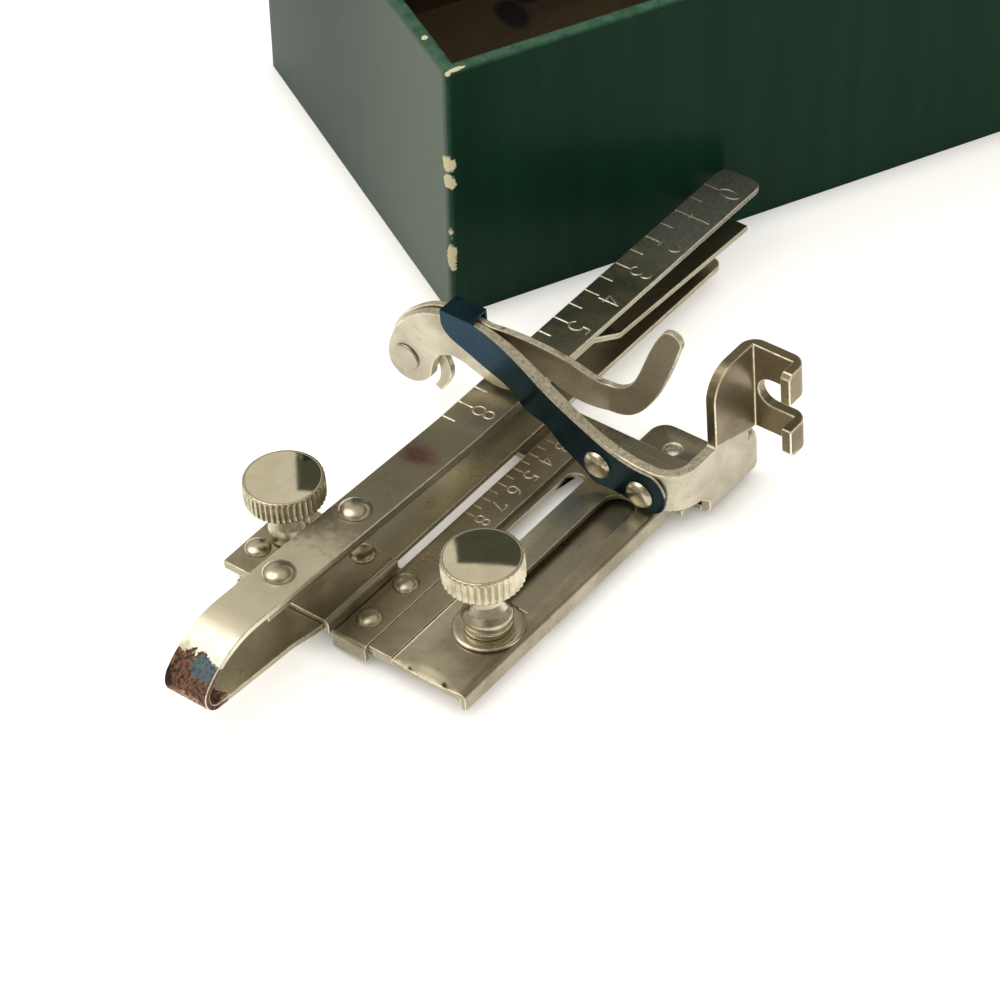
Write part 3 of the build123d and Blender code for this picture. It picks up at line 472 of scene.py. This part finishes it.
def book_cloth(name, tone, deep, thread_mm=0.5):
    """Plain weave: threads along x and across them, each drawn by a wave."""
    made, tree, shader, place = new_material(name)
    warp, weft = [add(tree, "TexWave", {"Vector": place, "Scale": per(thread_mm) * STRIPE,
                                        "Distortion": 0.6}, bands_direction=way).outputs[1]
                  for way in "XZ"]
    weave = calc(tree, "MULTIPLY", warp, weft)
    feed(tree, shader, {"Base Color": ramp(tree, weave, (0.0, deep), (0.8, tone)),
                        "Roughness": span(tree, weave, 0.0, 1.0, 0.9, 0.7),
                        "Normal": bump(tree, 0.6, 0.0001, weave)})
    return made


# flat grey core of the walls
BOARD = fibre("grey board", "#9a917f", "#7d7464", "#6b5f4a", 0.6)
# warm dark inside, with two near-black patches near the corner
KRAFT = fibre("brown kraft lining", "#40300f", "#31240a", "#140c03", 0.5,
              dark_patches=[((-44.8, 21.0, 2.0), (2.2, 3.4, 2.0)), ((-40.8, 23.6, 2.0), (2.4, 1.6, 2.0))])
# dull dark green that shows its threads close up
CLOTH = book_cloth("green book cloth", "#1d3428", "#0f1d16")
FINISH = {"green_paper": PAPER, "grey_board": BOARD, "kraft_lining": KRAFT, "green_cloth": CLOTH,
          "worn_nickel": NICKEL, "polished_nickel": POLISHED, "blued_spring": BLUED}
print("finishes:", sorted(FINISH))

# %% [markdown]
# ## Dressing the CAD pieces
#
# A stamped piece never has razor edges: the die rounds one side and leaves a rubbed burr on the
# other. The CAD mesh is loose triangles, so a copy is joined up first, its flat areas are merged
# into whole faces, and a Bevel modifier then rolls every sharp edge over by a tenth of a millimetre.
# The bevel takes a second material, the plate rubbed bright, which is how wear lies on the real
# edges; its paler colour is also a painted highlight along every eased edge. A third, paler and less
# metallic, is for faces that the die sheared through; it is given only to those that face up, so it
# is also a painted highlight on their top edges.

# %% Copy a node, join it up and ease its edges
SLOT = {part["node"]: part["material_slot"] for part in frame["record"]["subparts"]}
BODY = {node: body for body, nodes in frame["record"]["behaviour"]["bodies"].items()
        for node in nodes}
SHARP = np.radians(32.0)      # edges sharper than this are eased
JOIN = 2e-6                   # metres within which corners of the loose triangles are one


def finish_piece(piece, body, slot, *replaced):
    """Lets a piece ride its body and hides the nodes it stands for; slot is not used."""
    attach(piece, body)
    if replaced:
        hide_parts(*replaced)
    return piece


def dressed(node, ease=0.12, finish=None, edge=None, sheared=None):
    """Copy of a CAD node: triangles joined, flats merged, edges eased in mm. Eased edges get the
    `edge` material; faces where sheared(place, normal) holds, in marker mm, are sheared metal, paler
    as a painted highlight."""
    mesh = NODES[node].data.copy()
    mesh.name = node + "_dressed"
    shape = bmesh.new()
    shape.from_mesh(mesh)
    bmesh.ops.remove_doubles(shape, verts=shape.verts, dist=JOIN)
    bmesh.ops.dissolve_limit(shape, angle_limit=np.radians(0.1), verts=shape.verts,
                             edges=shape.edges)
    shape.normal_update()
    for face in shape.faces:
        face.smooth = True
        if sheared is not None:
            at = STANCE.T @ (np.array(face.calc_center_median()) * 1000 - PLACE)
            face.material_index = 2 if sheared(at, STANCE.T @ np.array(face.normal)) else 0
    mesh.materials.clear()
    plain = finish or FINISH[SLOT[node]]
    for material in (plain, edge or plain, SHEARED_AND_HIGHLIT):
        mesh.materials.append(material)
    shape.to_mesh(mesh)
    shape.free()
    piece = bpy.data.objects.new(node + "_dressed", mesh)
    scene.collection.objects.link(piece)
    if ease:
        bevel = piece.modifiers.new("eased edges", "BEVEL")
        bevel.width, bevel.segments = ease / 1000, 2
        bevel.limit_method, bevel.angle_limit = "ANGLE", SHARP
        bevel.use_clamp_overlap = False
        bevel.harden_normals = True
        bevel.material = 1 if edge is not None else -1
    mesh.set_sharp_from_angle(angle=SHARP)
    return finish_piece(piece, BODY[node], SLOT[node], node)


# how far each plate's edges are eased, in mm
PLATES = {"frame_base_plate": 0.1, "tuck_scale_strip": 0.1, "frame_side_plate": 0.1,
          "slot_floor": 0.1, "leaf_pad": 0.1, "guide_block": 0.15, "saddle_plate": 0.12,
          "foot_bracket": 0.16, "foot_sole": 0.14, "tuck_guide_plate": 0.1,
          "space_scale_strip": 0.12, "space_under_bar": 0.12, "marking_lever": 0.14,
          "creasing_beak": 0.14}
# faces that are raw sheared metal, painted paler as a highlight: those that look up, or along the
# spring's upper edge
SPRING_EDGE = np.array((0.0, -0.5, 0.87))
RAW_AND_HIGHLIT = {"foot_bracket": lambda at, out: out[2] > 0.45 and at[0] < 9.0,
       "marking_lever": lambda at, out: out[2] > 0.45,
       "blue_spring": lambda at, out: out @ SPRING_EDGE > 0.6 and at[1] < -0.4}
OWN = {"space_scale_strip": STRIP_NICKEL, "foot_bracket": BRACKET_NICKEL,
       "marking_lever": KEPT_NICKEL, "creasing_beak": KEPT_NICKEL}
for node, ease in PLATES.items():
    dressed(node, ease, finish=OWN.get(node), edge=NICKEL_EDGE_AND_HIGHLIGHT, sheared=RAW_AND_HIGHLIT.get(node))
dressed("blue_spring", 0.05, sheared=RAW_AND_HIGHLIT["blue_spring"])
dressed("head_pin", 0.1, finish=KEPT_NICKEL)
print("plates dressed:", len(PLATES) + 2)

# %% [markdown]
# The box's pieces get the same treatment. The covered rim is already round in the CAD model, so
# its edges only lose their last sharpness.

# %% Dress the box and its lid
for node in ("box_cover_paper", "box_lining", "lid_lining", "hinge_cloth_box", "hinge_cloth_lid"):
    dressed(node, 0.05)
dressed("lid_cover_paper", 0.15, edge=RUBBED_PAPER)
for node in ("box_bottom_board", "box_front_board", "box_back_board", "box_end_boards",
             "lid_panel_board", "lid_skirt_board"):
    dressed(node, 0.0)
print("box pieces dressed")

# %% [markdown]
# ## Surfaces from profiles
#
# Screws and rivet heads are turned or pressed, so they are surfaces of revolution. They could be
# primitives with modifiers, but a profile carried round an axis with numpy gives the knurling and
# the eased shoulders exactly.

# %% Grids, meshes and profiles
def skin(grid, around=True):
    """Vertices and quads of a grid of points; around joins its last column to the first."""
    rows, columns = grid.shape[:2]
    index = np.arange(rows * columns).reshape(rows, columns)
    if around:
        index = np.concatenate([index, index[:, :1]], axis=1)
    quads = np.stack([index[:-1, :-1], index[:-1, 1:], index[1:, 1:], index[1:, :-1]], axis=-1)
    return grid.reshape(-1, 3), quads.reshape(-1, 4)


def built(name, skins, finish, angle=40.0):
    """One mesh object from skins in row metres: poles merged, faces turned outwards."""
    start = np.cumsum([0] + [len(points) for points, _ in skins])
    points = np.concatenate([points for points, _ in skins])
    faces = np.concatenate([quads + at for (_, quads), at in zip(skins, start)])
    mesh = bpy.data.meshes.new(name)
    mesh.from_pydata(points.tolist(), [], faces.tolist())
    shape = bmesh.new()
    shape.from_mesh(mesh)
    bmesh.ops.remove_doubles(shape, verts=shape.verts, dist=1e-6)
    bmesh.ops.recalc_face_normals(shape, faces=shape.faces)
    for face in shape.faces:
        face.smooth = True
    shape.to_mesh(mesh)
    shape.free()
    mesh.materials.append(finish)
    mesh.set_sharp_from_angle(angle=np.radians(angle))
    piece = bpy.data.objects.new(name, mesh)
    scene.collection.objects.link(piece)
    print(name, "faces:", len(mesh.polygons))
    return piece


def eased(corners, ease, steps=5):
    """Profile whose inner corners are rounded: each becomes the quadratic curve
    (1 - t)^2 a + 2 t (1 - t) p + t^2 b, where a and b lie `ease` from the corner p."""
    p = np.array(corners, float)
    before, here, after = p[:-2], p[1:-1], p[2:]
    ease = min(ease, 0.48 * np.linalg.norm(np.diff(p, axis=0), axis=1).min())
    back = (before - here) / np.linalg.norm(before - here, axis=1, keepdims=True)
    on = (after - here) / np.linalg.norm(after - here, axis=1, keepdims=True)
    a, b = here + back * ease, here + on * ease
    t = np.linspace(0, 1, steps)[None, :, None]
    curve = (1 - t) ** 2 * a[:, None] + 2 * t * (1 - t) * here[:, None] + t ** 2 * b[:, None]
    return np.concatenate([p[:1], curve.reshape(-1, 2), p[-1:]])


def lathe(profile, sides, at, cut=None):
    """(radius, height) profile carried round an upright axis: (r cos a, r sin a, h), where
    cut(angle, height) comes off the radius."""
    angle = np.linspace(0, 2 * np.pi, sides, endpoint=False)[None, :]
    radius, height = profile[:, :1], profile[:, 1:]
    off = cut(angle, height) if cut else 0.0
    grid = np.stack([(radius - off) * np.cos(angle), (radius - off) * np.sin(angle),
                     height + 0 * angle], axis=-1)
    return grid + np.array(at)


print("profile tools ready")

# %% [markdown]
# ## Knurled thumb screws
#
# Each screw is turned from bar: a threaded shank, a collar or barrel stem, and a wide head whose
# rim is knurled with straight teeth by a wheel pressed into it. The flutes are round bottomed and
# the crests sharp, so the radius loses depth * |sin(N angle / 2)| ^ 0.8, and the cut fades out
# where the head's edges are eased. The top is very slightly domed, which bends its reflection.

# %% Thumb screws
GUIDE_SCREW = (-22.6, -21.9, 0.0)
LEAF_SCREW = (-26.2, 5.1, 0.0)
HEAD_R, DOME_R = 5.0, 162.0
SIDES_A_TOOTH = 10
CROWN = 0.98                  # faces whose normal is this near the axis are the polished top


def knurled(teeth, depth, low, high):
    """Cut of a knurling wheel between two heights, fading out over their edges."""
    def cut(angle, height):
        share = np.clip((height - low) / (high - low), 0, 1)
        fade = np.clip(1 - np.abs(2 * share - 1) ** 6, 0, 1)
        return depth * fade * np.abs(np.sin(teeth * angle / 2)) ** 0.8
    return cut


def domed_top(radius, top, rings=6):
    """Crown of a head from its rim to its pole: height falls by r^2 / (2 R) from the pole."""
    r = np.concatenate([[radius, radius - 0.04], np.linspace(radius - 0.08, 0.0, rings)])
    return np.stack([r, top - r ** 2 / (2 * DOME_R)], axis=1)


def thumb_screw(name, at, shank, head_low, head_high, teeth, depth):
    """Shank corners, then the knurled band and the domed top, as one turned surface."""
    rim = HEAD_R - 0.32
    band = np.linspace(head_low + 0.28, head_high - 0.28, 14)
    barrel = HEAD_R - 0.05 * ((band - band.mean()) / (band[-1] - band.mean())) ** 2
    shoulder = [(rim - 0.5, head_low), (rim, head_low + 0.02), (HEAD_R - 0.13, head_low + 0.12)]
    upper = [(HEAD_R - 0.13, head_high - 0.12), (rim + 0.04, head_high - 0.03)]
    profile = np.concatenate([eased(shank + [shoulder[0]], 0.25), shoulder[1:],
                              np.stack([barrel, band], axis=1), upper,
                              domed_top(rim - 0.12, head_high)])
    cut = knurled(teeth, depth, head_low, head_high - 0.1)
    piece = built(name, [skin(stand(lathe(profile, teeth * SIDES_A_TOOTH, at, cut)))], TURNED,
                  angle=60.0)
    piece.data.materials.append(POLISHED)
    normals = np.empty(len(piece.data.polygons) * 3)
    piece.data.polygons.foreach_get("normal", normals)
    crown = normals.reshape(-1, 3) @ STANCE[:, 2] > CROWN
    piece.data.polygons.foreach_set("material_index", crown.astype(np.int32))
    return piece


# (radius, height) corners from the thread's end up to the head
GUIDE_SHANK = [(0.0, -9.5), (1.25, -9.5), (1.25, -7.5), (2.9, -7.5), (3.0, -7.3), (3.0, -6.7),
               (2.85, -6.5), (3.05, -6.3), (3.15, -5.6), (3.05, -5.2), (2.45, -4.5), (1.9, -3.4),
               (1.5, -2.0), (1.4, -0.9), (1.5, 0.02)]
LEAF_SHANK = [(0.0, -8.7), (1.25, -8.7), (1.25, -4.5), (2.4, -4.5), (2.5, -4.3), (2.6, -3.0),
              (2.4, -2.2), (1.8, -1.0), (1.45, 0.2), (1.45, 1.52)]
WASHER = np.array([(1.4, -8.0), (4.3, -8.0), (4.37, -7.93), (4.37, -7.68), (4.25, -7.57),
                   (3.9, -7.55), (1.4, -7.55), (1.4, -8.0)])
guide = thumb_screw("guide_thumb_screw", GUIDE_SCREW, GUIDE_SHANK, 0.0, 3.5, 38, 0.36)
leaf = thumb_screw("gauge_thumb_screw", LEAF_SCREW, LEAF_SHANK, 1.5, 4.7, 44, 0.3)
finish_piece(guide, "guide_screw", "polished_nickel", "guide_screw")
finish_piece(leaf, "gauge_screw", "polished_nickel", "gauge_screw")
ring = built("guide_screw_washer", [skin(stand(lathe(WASHER, 96, GUIDE_SCREW)))], TURNED)
finish_piece(ring, "tuck_guide", "polished_nickel", "guide_washer")

# %% [markdown]
# ## Rivet heads
#
# The rivets are closed with a hollow punch: a low dome with a soft shoulder that flares into the
# plate. The dome's height follows (1 - (r/R)^2.4)^0.6, fuller than a sphere, and a thin skirt
# stands on the plate.

# %% Rivets
SPRUNG, SPRUNG_X = 0.05, -4.0     # the strip rises this much per mm, from here to its loop
PLATE_TOP = -8.1                  # top of the frame's plates


def dome(radius, height, sides=48):
    """Pressed rivet head on the origin, with a stub of its shank below the plate."""
    r = np.linspace(1, 0, 14)
    top = np.stack([radius * r, 0.06 + (height - 0.06) * (1 - r ** 2.4) ** 0.6], axis=1)
    under = np.array([(0.0, -0.5), (radius * 0.5, -0.5), (radius * 0.5, 0.0),
                      (radius * 0.97, 0.0)])
    return lathe(np.concatenate([under, top]), sides, (0, 0, 0))


def facing(grid, x, y, z, out=(0, 0, 1), tilt=0.0):
    """Turns a head from +z to the way its axis points, tilts it about y, sets it at its place."""
    if out == (-1, 0, 0):
        grid = np.stack([-grid[..., 2], grid[..., 1], grid[..., 0]], axis=-1)
    c, s = np.cos(tilt), np.sin(tilt)
    turned = np.stack([grid[..., 0] * c + grid[..., 2] * s, grid[..., 1],
                       -grid[..., 0] * s + grid[..., 2] * c], axis=-1)
    return turned + np.array((x, y, z))


small = dome(1.65, 0.75)
RIVETS = {
    "space_rivets": ("space_gauge", [
        facing(dome(2.1, 1.0), x, -2.8, SPRUNG * (SPRUNG_X - x), tilt=np.arctan(SPRUNG))
        for x in (-36.7, -22.9)]),
    "scale_strip_rivets": ("marker_frame", [
        facing(small, x, y, PLATE_TOP) for x, y in ((-29.3, -9.3), (-22.4, -9.2))]),
    "saddle_rivets": ("marker_frame", [
        facing(small, -30.2, 6.9, -4.6), facing(small, -22.9, -3.2, -6.0)]),
    "foot_rivets": ("marker_frame", [
        facing(small, 8.6, y, PLATE_TOP) for y in (-18.6, -22.9)]),
    "spring_rivets": ("marker_frame", [
        facing(dome(1.9, 0.9), 3.6, y, z, out=(-1, 0, 0))
        for y, z in ((-18.25, -4.0), (-24.5, -5.65))])}
for name, (body, heads) in RIVETS.items():
    piece = built(name + "_domed", [skin(stand(grid)) for grid in heads], TURNED)
    finish_piece(piece, body, "polished_nickel", name)

# %% [markdown]
# ## Stamped scales
#
# The divisions and figures are struck into the plate with punches. The figures are plain generic
# ones, drawn from arcs and straight lines in a box one wide and one high. A font would do, but
# single strokes are what a punch leaves.

# %% Strokes of the figures
def arc(cx, cy, rx, ry, start, end, steps=22):
    """Part of an ellipse between two angles in degrees: centre + (rx cos, ry sin)."""
    t = np.radians(np.linspace(start, end, steps))
    return np.stack([cx + rx * np.cos(t), cy + ry * np.sin(t)], axis=1)


def line(*points):
    """Straight runs through the given points, three steps a run."""
    p = np.array(points, float)
    t = np.linspace(0, 1, 4)[:-1, None]
    runs = [a + (b - a) * t for a, b in zip(p[:-1], p[1:])]
    return np.concatenate(runs + [p[-1:]])


FIGURES = {
    "0": [arc(0.5, 0.5, 0.48, 0.5, 0, 360)],
    "1": [line((0.5, 0), (0.5, 1)), line((0.5, 1), (0.2, 0.78)), line((0.2, 0), (0.8, 0))],
    "2": [np.concatenate([arc(0.5, 0.7, 0.45, 0.3, 165, -35), line((0.1, 0.02), (1, 0.02))])],
    "3": [arc(0.42, 0.28, 0.5, 0.28, -150, 90), arc(0.42, 0.77, 0.42, 0.23, -90, 150)],
    "4": [line((0.72, 0), (0.72, 1), (0.0, 0.32), (1.0, 0.32))],
    "5": [np.concatenate([arc(0.45, 0.32, 0.5, 0.32, -150, 118),
                          line((0.2, 0.98), (0.9, 0.98))])],
    "6": [arc(0.5, 0.3, 0.48, 0.3, 0, 360), arc(0.98, 0.34, 0.96, 0.66, 180, 104)],
    "7": [line((0.0, 0.8), (0.0, 0.98), (0.95, 0.98), (0.35, 0.0))],
    "8": [arc(0.5, 0.27, 0.5, 0.27, 0, 360), arc(0.5, 0.77, 0.42, 0.23, 0, 360)],
}
print("figures:", "".join(sorted(FIGURES)))

# %% [markdown]
# A punch leaves a fine groove with a raised burr on each side. The burrs are what catch the light,
# so each stroke is a narrow ribbon with two crests and a valley, in the pale edge metal, whose
# brightness is partly a painted highlight. The figures read from the far side, as on the real
# scales, so their up is towards -y and their right towards -x.

# %% Ribbons and scales
LESSER_TICK = 0.88            # length of a half step's tick over a whole one's


def ribbon(path, width, height):
    """Burred groove along a path on z = 0, closed below and at its ends. Across it the height
    goes side 0, crest 1, valley 0.1, crest 1, side 0, times the burr's height."""
    along = np.gradient(path, axis=0)
    along /= np.linalg.norm(along, axis=1, keepdims=True)
    side = np.stack([-along[:, 1], along[:, 0]], axis=1)
    offset = np.array((-1.0, -0.6, 0.0, 0.6, 1.0, 1.0, -1.0)) * width / 2
    rise = np.array((0.0, 1.0, 0.1, 1.0, 0.0, -0.6, -0.6)) * height
    flat = path[:, None, :] + side[:, None, :] * offset[None, :, None]
    lift = np.broadcast_to(rise[None, :, None], (*flat.shape[:2], 1))
    grid = np.concatenate([flat, lift], axis=-1)
    ends = grid[[0, -1]].mean(axis=1, keepdims=True) + np.zeros((1, grid.shape[1], 1))
    return np.concatenate([ends[:1], grid, ends[1:]])


def scale_marks(name, body, step, zero_x, numbers, edge_y, tick, figure_y, size, level, burr):
    """Ticks at every half step and a figure at every whole one, along -x from the 0 end."""
    paths = []
    for number in numbers:
        x = zero_x - step * number
        whole = float(number).is_integer()
        paths.append(line((x, edge_y), (x, edge_y - tick * (1 if whole else LESSER_TICK))))
        for stroke in FIGURES[str(int(number))] if whole else ():
            paths.append(np.stack([x + size[0] * (0.5 - stroke[:, 0]),
                                   figure_y - size[1] * stroke[:, 1]], axis=1))
    # the marks take the pale edge metal: rubbed plate with a painted highlight
    piece = built(name, [skin(stand(level(ribbon(path, *burr)))) for path in paths], NICKEL_EDGE_AND_HIGHLIGHT)
    return finish_piece(piece, body, "worn_nickel")


def on_space_strip(grid):
    """Lifts marks onto the space strip, which rises towards its loop."""
    lifted = grid.copy()
    lifted[..., 2] += SPRUNG * np.maximum(0.0, SPRUNG_X - grid[..., 0])
    return lifted


def on_tuck_strip(grid):
    """Lays marks on the tuck scale strip."""
    return grid + np.array((0, 0, PLATE_TOP))


scale_marks("space_scale_marks", "space_gauge", step=6.35, zero_x=50.8,
            numbers=np.arange(0, 8.51, 0.5), edge_y=-0.12, tick=2.2, figure_y=-2.5,
            size=(1.5, 3.0), level=on_space_strip, burr=(0.22, 0.03))
scale_marks("tuck_scale_marks", "marker_frame", step=3.175, zero_x=16.8,
            numbers=np.arange(2, 8.1, 0.5), edge_y=-7.2, tick=1.45, figure_y=-8.95,
            size=(1.15, 1.9), level=on_tuck_strip, burr=(0.22, 0.04))

# %% [markdown]
# ## The table
#
# The photograph stands on a white table under soft light, and its white runs out to plain white.
# The table is a white diffuse surface that keeps the object's shadow; for the camera, and in
# reflections, it also glows, so that it comes out white, except within a few millimetres of a piece
# that stands on it, where ambient occlusion dims the glow. That leaves a painted contact shadow, the
# thin dark line of contact.

# %% Table
CONTACT = 0.0035              # metres within which a piece dims the table's glow: a painted contact shadow
TABLE_GLOW = 0.5
table_mesh = bpy.data.meshes.new("table")
reach = np.linspace(-1.6, 1.6, 9)
table_grid = np.stack(np.meshgrid(reach, reach, [0.0], indexing="ij"), axis=-1)[:, :, 0]
points, quads = skin(table_grid, around=False)
table_mesh.from_pydata(points.tolist(), [], quads.tolist())
table = bpy.data.objects.new("table", table_mesh)
scene.collection.objects.link(table)
# soft white, with no gloss
white = bpy.data.materials.new("white table")
white.use_nodes = True
tree = white.node_tree
tree.nodes.remove(tree.nodes["Principled BSDF"])
path = add(tree, "LightPath").outputs
shown = calc(tree, "ADD", path["Is Camera Ray"], path["Is Glossy Ray"])
shown = calc(tree, "ADD", shown, path["Is Transmission Ray"], clamp=True)
# ambient occlusion dims the glow near a piece: painted contact shadow
open_share = add(tree, "AmbientOcclusion", {"Distance": CONTACT}, samples=8).outputs["AO"]
glow = calc(tree, "MULTIPLY", calc(tree, "MULTIPLY", shown, open_share), TABLE_GLOW)
glowing = add(tree, "Emission", {"Color": linear("#fffefb"), "Strength": glow})
plain = add(tree, "BsdfDiffuse", {"Color": linear("#e9e7e2")})
both = add(tree, "AddShader", {0: glowing.outputs[0], 1: plain.outputs[0]})
feed(tree, tree.nodes["Material Output"], {0: both.outputs[0]})
table_mesh.materials.append(white)
print("table:", len(table_mesh.polygons), "faces")

# %% [markdown]
# ## The light
#
# The room lights evenly, as a white room does. Metal is only as good as what it mirrors, so in
# reflections the room is painted: walls that are darker at their foot, a dark doorway, and a
# darker band behind the lens. The doorway's corner is what the tops of the screws mirror. Each of
# its edges is a pair of values, over which it fades in or out.

# %% The room's light
DOORWAY = (-0.109, -0.105)    # how far right it starts
LINTEL, LINTEL_SLOPE = (0.680, 0.684), -0.25      # its top, and how that slopes to the right
SILL = (0.582, 0.594)         # how high it starts
WALL = (0.12, 0.4)            # height over which the wall grows light
NEAR = (0.86, 0.97)           # how near the way back to the lens the dark band starts
EVENLY = 0.92                 # strength of the room's own light
SMOOTH = "SMOOTHSTEP"

world = bpy.data.worlds.new("pale room")
world.use_nodes = True
scene.world = world
tree = world.node_tree
tree.nodes.clear()
path = add(tree, "LightPath").outputs
way = add(tree, "TexCoord").outputs["Generated"]
# how far a reflected ray points to the right of the picture, how far back to the lens, how high
right, back = [add(tree, "VectorMath", {0: way, 1: tuple(axis)},
                   operation="DOT_PRODUCT").outputs["Value"] for axis in (RIGHT, -FORWARD)]
up = add(tree, "SeparateXYZ", {0: way}).outputs[2]
lintel = calc(tree, "MULTIPLY_ADD", right, LINTEL_SLOPE, up)
dark = calc(tree, "MULTIPLY", span(tree, right, *DOORWAY, run=SMOOTH),
            span(tree, lintel, *LINTEL, 1.0, 0.0, SMOOTH))
dark = calc(tree, "MULTIPLY", dark, span(tree, up, *SILL, run=SMOOTH))
room = lay(tree, span(tree, up, *WALL, run=SMOOTH), linear("#7c776a"), linear("#d2ccbc"))
room = lay(tree, dark, room, linear("#4b4c42"))
room = lay(tree, span(tree, back, *NEAR, 0.0, 0.8, SMOOTH), room, linear("#6e6a5f"))
seen_through = calc(tree, "MAXIMUM", path["Is Camera Ray"], path["Is Transmission Ray"])
seen = add(tree, "Background", {"Color": (1, 1, 1, 1), "Strength": 1.0})
mirrored = add(tree, "Background", {"Color": room, "Strength": 1.0})
lighting = add(tree, "Background", {"Color": linear("#fffdf8"), "Strength": EVENLY})
lit = add(tree, "MixShader", {0: path["Is Glossy Ray"], 1: lighting.outputs[0],
                              2: mirrored.outputs[0]})
out = add(tree, "MixShader", {0: seen_through, 1: lit.outputs[0], 2: seen.outputs[0]})
add(tree, "OutputWorld", {0: out.outputs[0]})
print("room:", len(tree.nodes), "nodes")

# %% [markdown]
# A large soft window lamp, behind and to the left, gives the shadows their side.

# %% Window lamp
LAMP_AT = np.array((-0.7, 0.35, 1.2))
window = bpy.data.lights.new("window", "AREA")
window.shape, window.size, window.energy = "DISK", 1.3, 6.5
lamp = bpy.data.objects.new("window", window)
scene.collection.objects.link(lamp)
aim = -LAMP_AT / np.linalg.norm(LAMP_AT)
side = np.cross(aim, (0, 0, 1.0))
side /= np.linalg.norm(side)
lamp.matrix_world = pose_matrix(side, np.cross(side, aim), -aim, LAMP_AT)
print("window lamp:", window.energy, "W")
